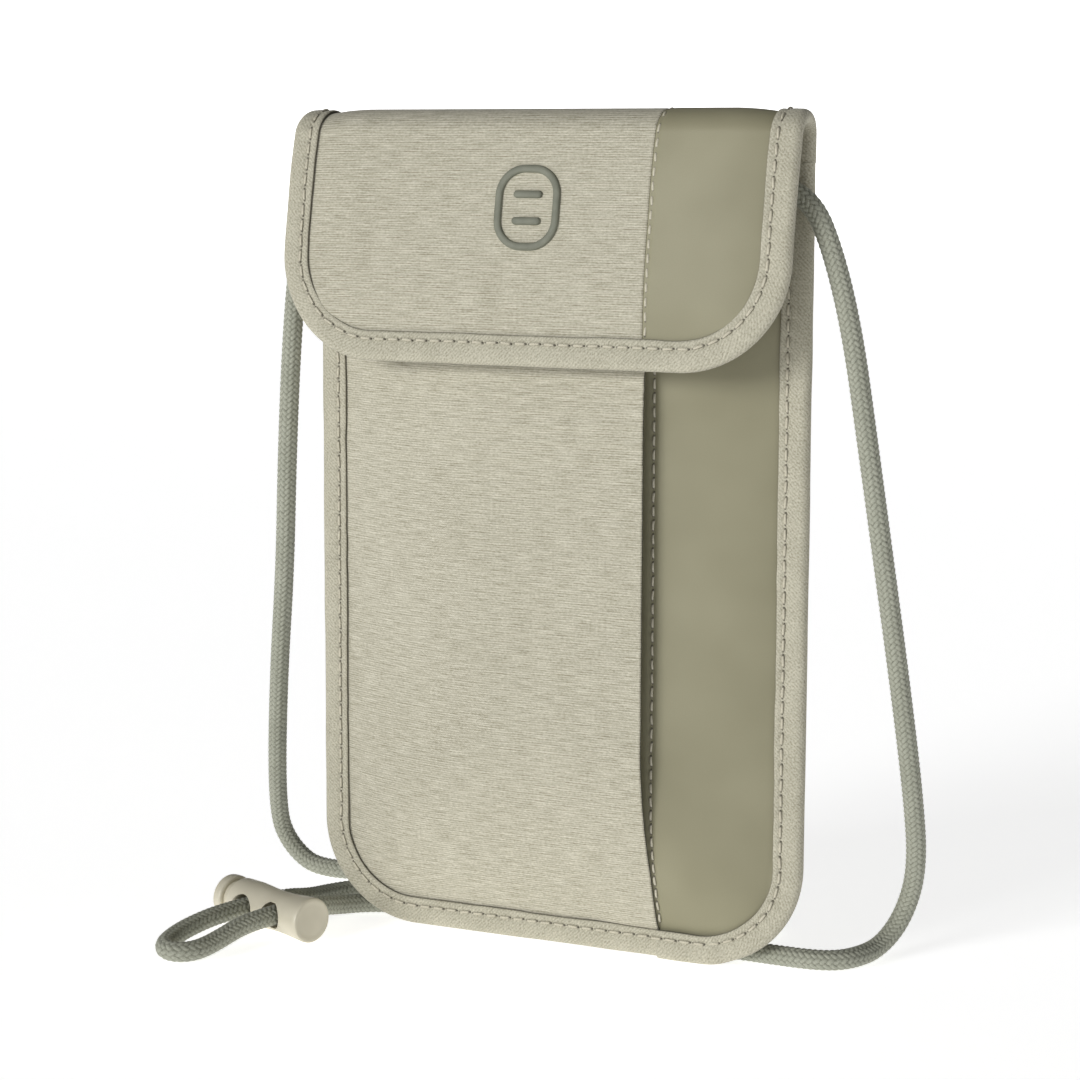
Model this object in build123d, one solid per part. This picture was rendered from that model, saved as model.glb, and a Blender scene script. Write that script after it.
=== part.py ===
from build123d import *
import math
import os

# Neck pouch wallet. Millimetres. +X along the width (right hand side of the front), +Y to the back,
# +Z up. The pouch stands on its bottom edge at z = 0, centred on the origin in X and Y.

# ---- driving dimensions ----
BODY_WIDTH = 132.0
FLAP_WIDTH = 134.0
HEIGHT = 208.0
BACK_Y = 10.25
CORNER_RADIUS = 26.5
SMALLEST_CORNER = 3.0
FOAM_MARGIN = 2.0         # how far the foam stops short of the binding's inner edge

TAPE_WIDTH = 7.3          # visible width of the binding tape
TAPE_THICKNESS = 0.85
SHELL = 0.6               # outer cloth
PADDING = 1.1             # foam
LINING = 0.3

MOUTH_Z = 187.0           # top edge of the front panels
FOLD_RADIUS = 6.25        # outermost radius of the fold over the top
FOLD_Y = BACK_Y - FOLD_RADIUS
FOLD_Z = HEIGHT - FOLD_RADIUS
FOLD_CLEARANCE = 0.3
FLAP_BOTTOM_Z = 147.2
FLAP_SLOPE = 10.2         # degrees that the closed flap leans forward
FLAP_LENGTH = 59.2        # straight part of the flap, from the fold to below its lower edge
FLAP_TAIL_ANGLE = -50.0   # where the fold starts, below the level of its centre, at the back

SEAM_X = 30.0             # edge of the front pocket, and the seam between the two cloths
STRIP_TUCK = 8.0          # how far the coated strip runs behind the pocket's edge
OVERLAP_X = 25.0          # where the binding tape's two ends lap at the bottom

CORD_DIAMETER = 5.0
CORD_RADIUS = CORD_DIAMETER / 2

LOCK_RADIUS = 5.75
LOCK_LENGTH = 28.0
LOCK_END = (-54.7, -19.5)  # centre of the barrel's closed end, on the floor
LOCK_TURN = 160.0          # direction of the barrel's axis, degrees from +X
LOCK_HOLES = (10.8, 21.8)  # cord holes, from the closed end
LOCK_HOLE_RADIUS = 3.15
LOCK_WALL = 3.0
LOCK_EDGE = 0.8            # rounding of the lock's outer edges
BORE_RADIUS = 4.6
STEM_RADIUS = 4.55
STEM_START = 6.2
STEM_HOLE_CLEARANCE = 0.1
PRESS_TRAVEL = 2.0
HEAD_GAP = 2.3
HEAD_THICKNESS = 3.2

HANK_RUN = 75.0
HANK_BEND = 10.0
HANK_Y = 37.0
HANK_LAYERS = 2
HANK_ROUNDING = 0.8       # share of the cord's radius
TIE_THICKNESS = 0.8
TIE_WIDTH = 10.0

STITCH_LENGTH = 2.3
STITCH_WIDTH = 0.55
STITCH_HEIGHT = 0.3

# ---- derived ----
FAR = 300.0
HALF_BODY = BODY_WIDTH / 2
HALF_FLAP = FLAP_WIDTH / 2
TAPE_FRONT_Y = 6.2
GROOVE_FRONT_Y = TAPE_FRONT_Y + TAPE_THICKNESS
GROOVE_BACK_Y = BACK_Y - TAPE_THICKNESS
LINING_MEET_Y = 8.5       # where the front and the back linings meet in the seam
HANK_FLOOR = TIE_THICKNESS
HANK_TOP = HANK_FLOOR + HANK_LAYERS * CORD_DIAMETER

# The neck cord's points, from the right anchor down to the floor, behind the pouch, through the
# cord lock, round the loop and back, and into the hank.
CORD_RIGHT_POINTS = [
    (46.0, 4.6, 191.2),
    (57.0, 3.2, 191.2),
    (67.4, 2.9, 187.0),
    (72.9, 2.9, 174.6),
    (77.2, 4.6, 156.0),
    (80.4, 7.2, 131.0),
    (83.4, 12.0, 102.0),
    (85.6, 19.0, 73.0),
    (87.0, 27.6, 43.0),
    (86.4, 34.6, 23.0),
    (82.6, 36.4, 10.0),
    (78.2, 31.0, 2.5),
    (74.8, 18.5, 2.5),
    (68.6, 14.2, 2.5),
    (56.0, 14.0, 2.5),
    (33.0, 15.2, 2.5),
    (0.0, 17.6, 2.5),
    (-27.0, 17.8, 2.5),
    (-44.0, 16.6, 2.5),
    (-56.4, 12.2, 2.5),
    (-60.8, 3.4, 3.4),
    (-61.8, -7.4, 5.75),
    (-69.0, -27.1, 5.75),
    (-73.2, -38.6, 3.4),
    (-76.6, -48.8, 2.5),
    (-87.0, -45.0, 2.5),
    (-83.6, -34.8, 3.4),
    (-79.3, -23.3, 5.75),
    (-72.1, -3.6, 5.75),
    (-70.6, 6.4, 3.5),
    (-69.4, 17.2, 2.5),
    (-63.4, 25.6, 2.5),
    (-51.5, 27.8, 2.9),
    (-37.5, 27.0, 3.3),
]

# From the hank's other end to the floor on the left, and up to the left anchor.
CORD_LEFT_POINTS = [
    (-37.5, 47.0, 8.3),
    (-50.0, 47.2, 7.2),
    (-63.0, 43.0, 3.6),
    (-76.0, 38.2, 2.5),
    (-87.2, 38.8, 2.5),
    (-92.6, 39.4, 5.0),
    (-96.5, 38.9, 9.6),
    (-98.0, 37.3, 15.6),
    (-94.9, 31.0, 31.0),
    (-87.6, 20.4, 60.0),
    (-80.4, 12.0, 90.0),
    (-75.6, 5.6, 121.0),
    (-72.2, 2.6, 150.0),
    (-70.2, 2.9, 171.0),
    (-66.6, 2.9, 184.6),
    (-57.0, 3.2, 191.2),
    (-46.0, 4.6, 191.2),
]

# Surfaces of the stuffed pouch, as rounded outlines stacked towards the front:
# (y, distance inside the body's outline, top edge).
POCKET_FRONT = [
    (3.2, 15.0, 188.0),
    (-0.3, 24.0, 187.0),
    (-3.0, 34.0, 168.0),
    (-5.0, 45.0, 150.0),
    (-6.0, 56.0, 134.0),
]
SHELL_FRONT = [
    (4.2, 15.0, 188.5),
    (1.6, 24.0, 188.0),
    (0.3, 32.0, 187.0),
    (-0.7, 44.0, 170.0),
]
BACK_FACE = [
    (BACK_Y, 13.0, FAR),
]
FLANGE_TOP = 189.0


# ---- outlines and stuffed surfaces ----
def outline_wire(inset, top, y, half_width=HALF_BODY, bottom=0.0, right=None):
    """A closed outline at depth y: square at the top, rounded at the two lower corners."""
    left = -half_width + inset
    right = half_width - inset if right is None else right
    low = bottom + inset
    radius = max(CORNER_RADIUS - inset, SMALLEST_CORNER)
    short = radius * (1 - math.sqrt(0.5))
    left_arc = ThreePointArc(
        (left, y, low + radius), (left + short, y, low + short), (left + radius, y, low)
    )
    right_arc = ThreePointArc(
        (right - radius, y, low), (right - short, y, low + short), (right, y, low + radius)
    )
    return Wire([
        Line((left, y, top), (left, y, low + radius)),
        left_arc,
        Line((left + radius, y, low), (right - radius, y, low)),
        right_arc,
        Line((right, y, low + radius), (right, y, top)),
        Line((right, y, top), (left, y, top)),
    ])


def prism(inset, y_from, y_to, top=FAR, **shape):
    """The outline, moved in by inset, as a straight block from y_from to y_to."""
    face = Face(outline_wire(inset, top, y_from, **shape))
    return Solid.extrude(face, Vector(0, y_to - y_from, 0))


def stuffed(levels, flange_y, base_y, shift=0.0, right=None):
    """The space between base_y and a bulged surface that rises from a flat flange."""
    wires = [
        outline_wire(TAPE_WIDTH, FLANGE_TOP, base_y, right=right),
        outline_wire(TAPE_WIDTH, FLANGE_TOP, flange_y, right=right),
    ]
    wires += [outline_wire(inset, top, y + shift, right=right) for y, inset, top in levels]
    bulge = Solid.make_loft(wires, ruled=True)
    flange = prism(TAPE_THICKNESS, base_y, flange_y, top=FLANGE_TOP, right=right)
    return bulge + flange


def box_between(low, high):
    """A box from its lowest to its highest corner."""
    size = [b - a for a, b in zip(low, high)]
    middle = [(a + b) / 2 for a, b in zip(low, high)]
    return Pos(*middle) * Box(*size)


def fold_cylinder(radius):
    """A cylinder along X about the fold's centre."""
    return Pos(0, FOLD_Y, FOLD_Z) * Rot(0, 90, 0) * Cylinder(radius, FAR)


# ---- the front ----
BASE_FRONT = 14.0
below_mouth = box_between((-FAR, -FAR, -1), (FAR, FAR, MOUTH_Z))
left_of_seam = box_between((-FAR, -FAR, -1), (SEAM_X, FAR, FAR))
left_of_tuck = box_between((-FAR, -FAR, -1), (SEAM_X - STRIP_TUCK, FAR, FAR))
right_of_tuck = box_between((SEAM_X - STRIP_TUCK, -FAR, -1), (FAR, FAR, FAR))
right_of_seam = box_between((SEAM_X, -FAR, -1), (FAR, FAR, FAR))


def front_pocket_panel():
    """The woven panel with a free edge at SEAM_X, sewn down at its left, top and bottom."""
    outer = stuffed(POCKET_FRONT, GROOVE_FRONT_Y, BASE_FRONT, right=FAR)
    inner = stuffed(POCKET_FRONT, GROOVE_FRONT_Y + SHELL, BASE_FRONT, shift=SHELL, right=FAR)
    return (outer - inner) & below_mouth & left_of_seam


def shell_space(depth, flange_y):
    """The space behind the front shell's surface, moved back by depth."""
    return stuffed(SHELL_FRONT, flange_y, BASE_FRONT, shift=depth)


shell_back_y = GROOVE_FRONT_Y + 2 * SHELL
shell_back = shell_space(SHELL, shell_back_y)
padding_back = shell_space(SHELL + PADDING, shell_back_y)
lining_back = shell_space(SHELL + PADDING + LINING, LINING_MEET_Y)


def pocket_back_panel():
    """The woven layer behind the front pocket."""
    layer = shell_space(0, GROOVE_FRONT_Y + SHELL) - shell_back
    return layer & below_mouth & left_of_tuck


def coated_side_panel():
    """The smooth coated strip at the right of the front, tucked under the pocket's edge."""
    tucked = (shell_space(0, GROOVE_FRONT_Y + SHELL) - shell_back) & right_of_tuck & left_of_seam
    shown = (shell_space(0, GROOVE_FRONT_Y) - shell_back) & right_of_seam
    return (tucked + shown) & below_mouth


def front_padding():
    """Foam behind the front shell, short of the seam."""
    layer = shell_back - padding_back
    return layer & below_mouth & prism(TAPE_WIDTH + FOAM_MARGIN, -FAR, FAR)


def front_lining():
    """Thin lining of the main compartment's front."""
    return (padding_back - lining_back) & below_mouth & prism(TAPE_THICKNESS, -FAR, FAR)


# ---- the back ----
BASE_BACK = -20.0
LINING_FRONT_Y = 8.0      # frontmost surface of the back's layers
TURN_RADIUS = FOLD_RADIUS + FOLD_CLEARANCE


def height_under_fold(y):
    """The highest point at depth y that the turning flap doesn't reach."""
    return FOLD_Z - math.sqrt(TURN_RADIUS ** 2 - (y - FOLD_Y) ** 2)


back_top_z = height_under_fold(LINING_FRONT_Y)
binding_top_z = height_under_fold(TAPE_FRONT_Y)


def back_space(depth, flange_y):
    """The space in front of the back's surface, moved forward by depth."""
    wires = [
        outline_wire(TAPE_WIDTH, FAR, BASE_BACK),
        outline_wire(TAPE_WIDTH, FAR, flange_y),
    ]
    wires += [outline_wire(inset, top, y - depth) for y, inset, top in BACK_FACE]
    below_fold = box_between((-FAR, -FAR, -1), (FAR, FAR, back_top_z))
    return (Solid.make_loft(wires, ruled=True) + prism(TAPE_THICKNESS, BASE_BACK, flange_y)) & below_fold


back_shell_inner = back_space(SHELL, GROOVE_BACK_Y - SHELL)
back_padding_inner = back_space(SHELL + PADDING, GROOVE_BACK_Y - SHELL)
back_lining_inner = back_space(SHELL + PADDING + LINING, LINING_MEET_Y)


def back_panel():
    """The flat woven back."""
    return back_space(0, GROOVE_BACK_Y) - back_shell_inner


def back_padding():
    """Foam inside the back, short of the seam."""
    return (back_shell_inner - back_padding_inner) & prism(TAPE_WIDTH + FOAM_MARGIN, -FAR, FAR)


def back_lining():
    """Thin lining of the main compartment's back."""
    return back_padding_inner - back_lining_inner


def body_binding():
    """Binding tape folded round the left, bottom and right edges, with its ends lapped at the bottom."""
    band = prism(0, TAPE_FRONT_Y, BACK_Y) - prism(TAPE_WIDTH, TAPE_FRONT_Y, BACK_Y)
    groove = prism(TAPE_THICKNESS, GROOVE_FRONT_Y, GROOVE_BACK_Y)
    lap_low = (OVERLAP_X, TAPE_FRONT_Y - TAPE_THICKNESS / 2, 0)
    lap_high = (OVERLAP_X + 2 * TAPE_WIDTH, TAPE_FRONT_Y, TAPE_WIDTH)
    below_fold = box_between((-FAR, -FAR, -1), (FAR, FAR, binding_top_z))
    lap = box_between(lap_low, lap_high) & prism(0, -FAR, FAR)
    return ((band - groove) + lap) & below_fold


# ---- the flap ----
def flap_profile(inner, outer, tail=FLAP_TAIL_ANGLE):
    """The flap's side view between two fold radii, drawn out along X."""
    lean = math.radians(FLAP_SLOPE)
    front_angle = 180.0 - FLAP_SLOPE
    middle_angle = (tail + front_angle) / 2

    def on_fold(radius, angle):
        turn = math.radians(angle)
        return (0, FOLD_Y + radius * math.cos(turn), FOLD_Z + radius * math.sin(turn))

    def at_end(radius):
        start = on_fold(radius, front_angle)
        return (0, start[1] - FLAP_LENGTH * math.sin(lean), start[2] - FLAP_LENGTH * math.cos(lean))

    side = Wire([
        ThreePointArc(on_fold(outer, tail), on_fold(outer, middle_angle), on_fold(outer, front_angle)),
        Line(on_fold(outer, front_angle), at_end(outer)),
        Line(at_end(outer), at_end(inner)),
        Line(at_end(inner), on_fold(inner, front_angle)),
        ThreePointArc(on_fold(inner, front_angle), on_fold(inner, middle_angle), on_fold(inner, tail)),
        Line(on_fold(inner, tail), on_fold(outer, tail)),
    ])
    solid = Solid.extrude(Face(side), Vector(FLAP_WIDTH, 0, 0))
    return Pos(-HALF_FLAP, 0, 0) * solid


def flap_outline(inset):
    """The flap's front view, as a block through its whole depth."""
    return prism(inset, -FAR, FAR, half_width=HALF_FLAP, bottom=FLAP_BOTTOM_Z)


SHEET_OUTER = FOLD_RADIUS - TAPE_THICKNESS
SHEET_INNER = SHEET_OUTER - SHELL
FOAM_INNER = SHEET_INNER - PADDING
LINING_INNER = FOAM_INNER - LINING
TAPE_INNER = LINING_INNER - TAPE_THICKNESS
GROOVE_TAIL_ANGLE = FLAP_TAIL_ANGLE - 10
inside_flap = flap_outline(TAPE_THICKNESS)


def flap_woven_panel():
    """The woven part of the flap's face, left of the seam."""
    return flap_profile(SHEET_INNER, SHEET_OUTER) & inside_flap & left_of_seam


def flap_coated_strip():
    """The coated part of the flap's face, right of the seam."""
    return flap_profile(SHEET_INNER, SHEET_OUTER) & inside_flap & right_of_seam


def flap_padding():
    """Foam inside the flap."""
    return flap_profile(FOAM_INNER, SHEET_INNER) & inside_flap


def flap_lining():
    """Lining under the flap."""
    return flap_profile(LINING_INNER, FOAM_INNER) & inside_flap


def flap_binding():
    """Binding tape folded round the flap's sides and lower edge."""
    band = flap_outline(0) - flap_outline(TAPE_WIDTH)
    groove = flap_profile(LINING_INNER, SHEET_OUTER, tail=GROOVE_TAIL_ANGLE) & inside_flap
    return (flap_profile(TAPE_INNER, FOLD_RADIUS) & band) - groove


def on_flap(x, z, radius):
    """A plane on the closed flap's slanted face: its normal points out of the flap."""
    lean = math.radians(FLAP_SLOPE)
    y_start = FOLD_Y - radius * math.cos(lean)
    z_start = FOLD_Z + radius * math.sin(lean)
    y = y_start - (z_start - z) * math.tan(lean)
    return Plane(
        origin=(x, y, z), x_dir=(1, 0, 0), z_dir=(0, -math.cos(lean), math.sin(lean))
    )


# ---- badge and closure ----
BADGE_WIDTH = 17.0
BADGE_HEIGHT = 20.5
BADGE_LINE = 1.8
BADGE_ROUNDING = 0.42     # corner radius as a share of the width
BADGE_THICKNESS = 0.8
BADGE_Z = 183.5
BADGE_BARS = (-3.2, 3.2)
BADGE_BAR_LENGTH = 7.5


def flap_badge():
    """A plain moulded badge: an upright rounded ring with two short bars."""
    plane = on_flap(0, BADGE_Z, SHEET_OUTER)
    ring = RectangleRounded(BADGE_WIDTH, BADGE_HEIGHT, BADGE_WIDTH * BADGE_ROUNDING)
    inner_width = BADGE_WIDTH - 2 * BADGE_LINE
    inner_height = BADGE_HEIGHT - 2 * BADGE_LINE
    ring -= RectangleRounded(inner_width, inner_height, inner_width * BADGE_ROUNDING)
    bars = [Pos(0, up) * SlotOverall(BADGE_BAR_LENGTH, BADGE_LINE) for up in BADGE_BARS]
    return plane * extrude(ring + bars, BADGE_THICKNESS)


PATCH_THICKNESS = 0.35
PATCH_WIDTH = 32.0
PATCH_Z = (156.5, 165.5)
PATCH_BACK_Y = 4.0


def patch_box():
    """The block that the two closure patches are cut to."""
    return box_between((-PATCH_WIDTH / 2, -FAR, PATCH_Z[0]), (PATCH_WIDTH / 2, PATCH_BACK_Y, PATCH_Z[1]))


def front_loop_patch():
    """The soft half of the flap's closure, sewn on the pocket."""
    outer = stuffed(POCKET_FRONT, GROOVE_FRONT_Y, BASE_FRONT, shift=-PATCH_THICKNESS, right=FAR)
    inner = stuffed(POCKET_FRONT, GROOVE_FRONT_Y, BASE_FRONT, right=FAR)
    return (outer - inner) & patch_box()


def flap_hook_patch():
    """The hooked half of the flap's closure, sewn under the flap."""
    return flap_profile(LINING_INNER - PATCH_THICKNESS, LINING_INNER) & patch_box()


# ---- stitching ----
def stitch():
    """One stitch lying on its plane, along the plane's X."""
    return Pos(0, 0, STITCH_HEIGHT / 2) * Box(STITCH_LENGTH, STITCH_WIDTH, STITCH_HEIGHT)


def bound_edge_places(half_width, bottom, top, inset, pitch):
    """(x, z, direction in degrees) of stitches down one side, round the bottom and up the other."""
    radius = CORNER_RADIUS - inset
    side = half_width - inset
    corner_z = bottom + CORNER_RADIUS
    straight_side = top - corner_z
    quarter = radius * math.pi / 2
    flat = 2 * (half_width - CORNER_RADIUS)
    total = 2 * straight_side + 2 * quarter + flat
    count = int(total / pitch)
    places = []
    for index in range(count):
        along = (index + 0.5) * total / count
        if along < straight_side:
            places.append((-side, top - along, 90))
        elif along < straight_side + quarter:
            turn = (along - straight_side) / radius
            x = -(half_width - CORNER_RADIUS) - radius * math.cos(turn)
            places.append((x, corner_z - radius * math.sin(turn), 90 + math.degrees(turn)))
        elif along < straight_side + quarter + flat:
            x = -(half_width - CORNER_RADIUS) + (along - straight_side - quarter)
            places.append((x, bottom + inset, 0))
        elif along < straight_side + 2 * quarter + flat:
            turn = (along - straight_side - quarter - flat) / radius
            x = (half_width - CORNER_RADIUS) + radius * math.sin(turn)
            places.append((x, corner_z - radius * math.cos(turn), math.degrees(turn)))
        else:
            places.append((side, corner_z + along - straight_side - 2 * quarter - flat, 90))
    return places


BINDING_PITCH = 3.8
SEAM_PITCH = 3.4
STITCH_INSET = 5.3
LAP_MARGIN = 2.0
STITCH_END_GAP = 2.0      # bare length at the end of a stitched row
FLAP_STITCH_X = SEAM_X + 2.0


def body_binding_stitching():
    """The row of stitches that holds the body's binding."""
    def face_y(x, z):
        lapped = OVERLAP_X - LAP_MARGIN < x < OVERLAP_X + 2 * TAPE_WIDTH + LAP_MARGIN and z < TAPE_WIDTH
        return TAPE_FRONT_Y - (TAPE_THICKNESS / 2 if lapped else 0)

    places = bound_edge_places(HALF_BODY, 0, binding_top_z - STITCH_END_GAP, STITCH_INSET, BINDING_PITCH)
    return Compound([
        Plane(origin=(x, face_y(x, z), z), x_dir=(1, 0, 0), z_dir=(0, -1, 0)) * Rot(0, 0, turn) * stitch()
        for x, z, turn in places
    ])


def flap_binding_stitching():
    """The row of stitches that holds the flap's binding, on its flat part."""
    top = FOLD_Z - STITCH_END_GAP
    places = bound_edge_places(HALF_FLAP, FLAP_BOTTOM_Z, top, STITCH_INSET, BINDING_PITCH)
    return Compound([on_flap(x, z, FOLD_RADIUS) * Rot(0, 0, turn) * stitch() for x, z, turn in places])


def flap_seam_stitching():
    """The topstitching on the coated strip beside the flap's seam."""
    low = FLAP_BOTTOM_Z + TAPE_WIDTH + STITCH_END_GAP
    count = int((FOLD_Z - low) / SEAM_PITCH)
    heights = [low + index * SEAM_PITCH for index in range(count)]
    return Compound([on_flap(FLAP_STITCH_X, z, SHEET_OUTER) * Rot(0, 0, 90) * stitch() for z in heights])


def front_surface_y(inset_from_right, z, levels, flange_y):
    """Depth of a stuffed surface along a vertical line, far from the lower corners."""
    def between(value, low, high, y_low, y_high):
        return y_low + (y_high - y_low) * (value - low) / (high - low)

    rows = [(flange_y, TAPE_WIDTH, FLANGE_TOP)] + levels
    depth = rows[-1][0]
    for (y_a, inset_a, top_a), (y_b, inset_b, top_b) in zip(rows, rows[1:]):
        for value, a, b in ((inset_from_right, inset_a, inset_b), (z, inset_a, inset_b)):
            if a <= value < b:
                depth = max(depth, between(value, a, b, y_a, y_b))
        if top_b < z <= top_a:
            depth = max(depth, between(z, top_b, top_a, y_b, y_a))
    return depth


# ---- anchors ----
ANCHOR_FROM = 44.0
ANCHOR_TO = 51.0
ANCHOR_WALL = 0.6
ANCHOR_TAB_LOW = 178.0
ANCHOR_NECK = 1.0         # half the height of the web behind the sleeve
ANCHOR_SEAT_Y = BACK_Y - SHELL - PADDING - LINING


def cord_anchor(side):
    """A folded tape tab sewn inside the back, with a sleeve round the cord's end. side is -1 or 1."""
    centre = Vector(*CORD_RIGHT_POINTS[0])
    direction = Vector(*CORD_RIGHT_POINTS[1]) - centre
    sleeve_plane = Plane(origin=centre - direction.normalized() * (centre.X - ANCHOR_FROM), z_dir=direction)
    length = ANCHOR_TO - ANCHOR_FROM
    sleeve = sleeve_plane * Pos(0, 0, length / 2) * Cylinder(CORD_RADIUS + ANCHOR_WALL, length)
    neck_low = (ANCHOR_FROM, centre.Y, centre.Z - ANCHOR_NECK)
    neck_high = (ANCHOR_TO, ANCHOR_SEAT_Y, centre.Z + ANCHOR_NECK)
    tab_low = (ANCHOR_FROM, ANCHOR_SEAT_Y - 2 * ANCHOR_WALL, ANCHOR_TAB_LOW)
    tab_high = (ANCHOR_TO, ANCHOR_SEAT_Y, centre.Z + ANCHOR_NECK)
    tab = sleeve + box_between(neck_low, neck_high) + box_between(tab_low, tab_high)
    start = Plane(origin=centre, z_dir=direction)
    tab -= start * Pos(0, 0, length) * Cylinder(CORD_RADIUS, 2 * length)
    return tab if side > 0 else mirror(tab, Plane.YZ)


# ---- cord ----
CORNER_SHARE = 0.45       # share of the shorter run that each corner's arc takes


def cord_path(points):
    """Straight runs joined by arcs as large as the runs allow. Returns the path and its radii."""
    vectors = [Vector(*p) for p in points]
    radii = []
    for before, here, after in zip(vectors, vectors[1:], vectors[2:]):
        turn = math.radians((here - before).get_angle(after - here))
        shorter = min((here - before).length, (after - here).length)
        radii.append(CORNER_SHARE * shorter / math.tan(turn / 2))
    return FilletPolyline(*points, radius=radii), radii


def cord_tube(name, points):
    """The cord along its points, with a printed check of its bends and its volume."""
    path, radii = cord_path(points)
    section = Plane(origin=path @ 0, z_dir=path % 0) * Circle(CORD_RADIUS)
    tube = sweep(section, path=path)
    expected = math.pi * CORD_RADIUS ** 2 * path.length
    print(name, "length", round(path.length, 1), "radii", [round(r, 1) for r in radii])
    print(name, "volume", round(tube.volume, 1), "expected", round(expected, 1))
    return tube


def neck_cord_hank():
    """The stored length of cord: a flat loop two cords high."""
    ring = SlotCenterToCenter(HANK_RUN, 2 * HANK_BEND + CORD_DIAMETER)
    ring -= SlotCenterToCenter(HANK_RUN, 2 * HANK_BEND - CORD_DIAMETER)
    solid = extrude(ring, HANK_TOP - HANK_FLOOR)
    solid = fillet(solid.edges(), CORD_RADIUS * HANK_ROUNDING)
    return Pos(0, HANK_Y, HANK_FLOOR) * solid


def hank_tie():
    """A flat strap round both sides of the hank."""
    inner_depth = 2 * HANK_BEND + CORD_DIAMETER
    inner_height = HANK_TOP - HANK_FLOOR
    outer = Box(TIE_WIDTH, inner_depth + 2 * TIE_THICKNESS, inner_height + 2 * TIE_THICKNESS)
    strap = outer - Box(TIE_WIDTH, inner_depth, inner_height)
    return Pos(0, HANK_Y, (HANK_FLOOR + HANK_TOP) / 2) * strap


# ---- cord lock ----
lock_plane = Plane(
    origin=(LOCK_END[0], LOCK_END[1], LOCK_RADIUS),
    x_dir=(0, 0, 1),
    z_dir=(math.cos(math.radians(LOCK_TURN)), math.sin(math.radians(LOCK_TURN)), 0),
)


def across(distance, radius, length, stretch=0.0):
    """A hole across the lock's axis, stretch longer along the axis."""
    hole = Pos(0, 0, distance) * Rot(90, 0, 0) * Cylinder(radius, length)
    if stretch:
        far = Pos(0, 0, distance + stretch) * Rot(90, 0, 0) * Cylinder(radius, length)
        slab = Pos(0, 0, distance + stretch / 2) * Box(2 * radius, length, stretch)
        hole = hole + far + slab
    return hole


def cord_lock_barrel():
    """The outer barrel: closed at one end, with two cord holes across it."""
    body = Pos(0, 0, LOCK_LENGTH / 2) * Cylinder(LOCK_RADIUS, LOCK_LENGTH)
    body = fillet(body.edges(), LOCK_EDGE)
    bore_length = LOCK_LENGTH - LOCK_WALL
    body -= Pos(0, 0, LOCK_WALL + bore_length / 2) * Cylinder(BORE_RADIUS, bore_length)
    for distance in LOCK_HOLES:
        body -= across(distance, LOCK_HOLE_RADIUS, 4 * LOCK_RADIUS)
    return lock_plane * body


def cord_lock_plunger():
    """The sprung plunger: a slotted stem in the barrel and a round head outside it."""
    stem_end = LOCK_LENGTH + HEAD_GAP
    stem_length = stem_end - STEM_START
    stem = Pos(0, 0, STEM_START + stem_length / 2) * Cylinder(STEM_RADIUS, stem_length)
    for distance in LOCK_HOLES:
        start = distance - STEM_HOLE_CLEARANCE
        radius = LOCK_HOLE_RADIUS - STEM_HOLE_CLEARANCE
        stretch = PRESS_TRAVEL + 2 * STEM_HOLE_CLEARANCE
        stem -= across(start, radius, 4 * LOCK_RADIUS, stretch=stretch)
    head = Pos(0, 0, stem_end + HEAD_THICKNESS / 2) * Cylinder(LOCK_RADIUS, HEAD_THICKNESS)
    head = fillet(head.edges(), LOCK_EDGE)
    return lock_plane * (stem + head)


SPRING_RADIUS = 3.2
SPRING_WIRE = 0.5
SPRING_TURNS = 2.0
SPRING_CLEARANCE = 0.05


def cord_lock_spring():
    """The compression spring between the barrel's closed end and the stem."""
    height = STEM_START - LOCK_WALL - SPRING_WIRE - 2 * SPRING_CLEARANCE
    path = Helix(pitch=height / SPRING_TURNS, height=height, radius=SPRING_RADIUS)
    section = Plane(origin=path @ 0, z_dir=path % 0) * Circle(SPRING_WIRE / 2)
    coil = sweep(section, path=path)
    return lock_plane * Pos(0, 0, LOCK_WALL + SPRING_WIRE / 2 + SPRING_CLEARANCE) * coil


# ---- the seam on the coated strip ----
STRIP_STITCH_X = SEAM_X + 1.6
STRIP_STITCH_LOW = TAPE_WIDTH + 3.0
STRIP_STITCH_HIGH = MOUTH_Z - 4.0
STRIP_STITCH_LIFT = 0.06
SLOPE_STEP = 1.0          # half the height over which the surface's slope is taken


def pocket_seam_stitching():
    """The topstitching on the coated strip beside the pocket's edge."""
    count = int((STRIP_STITCH_HIGH - STRIP_STITCH_LOW) / SEAM_PITCH)
    inset = HALF_BODY - STRIP_STITCH_X
    stitches = []
    for index in range(count):
        z = STRIP_STITCH_LOW + index * SEAM_PITCH
        below = front_surface_y(inset, z - SLOPE_STEP, SHELL_FRONT, GROOVE_FRONT_Y)
        above = front_surface_y(inset, z + SLOPE_STEP, SHELL_FRONT, GROOVE_FRONT_Y)
        up = Vector(0, above - below, 2 * SLOPE_STEP).normalized()
        y = (below + above) / 2 - STRIP_STITCH_LIFT
        plane = Plane(origin=(STRIP_STITCH_X, y, z), x_dir=up, z_dir=Vector(0, -up.Z, up.Y))
        stitches.append(plane * stitch())
    return Compound(stitches)


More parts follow.
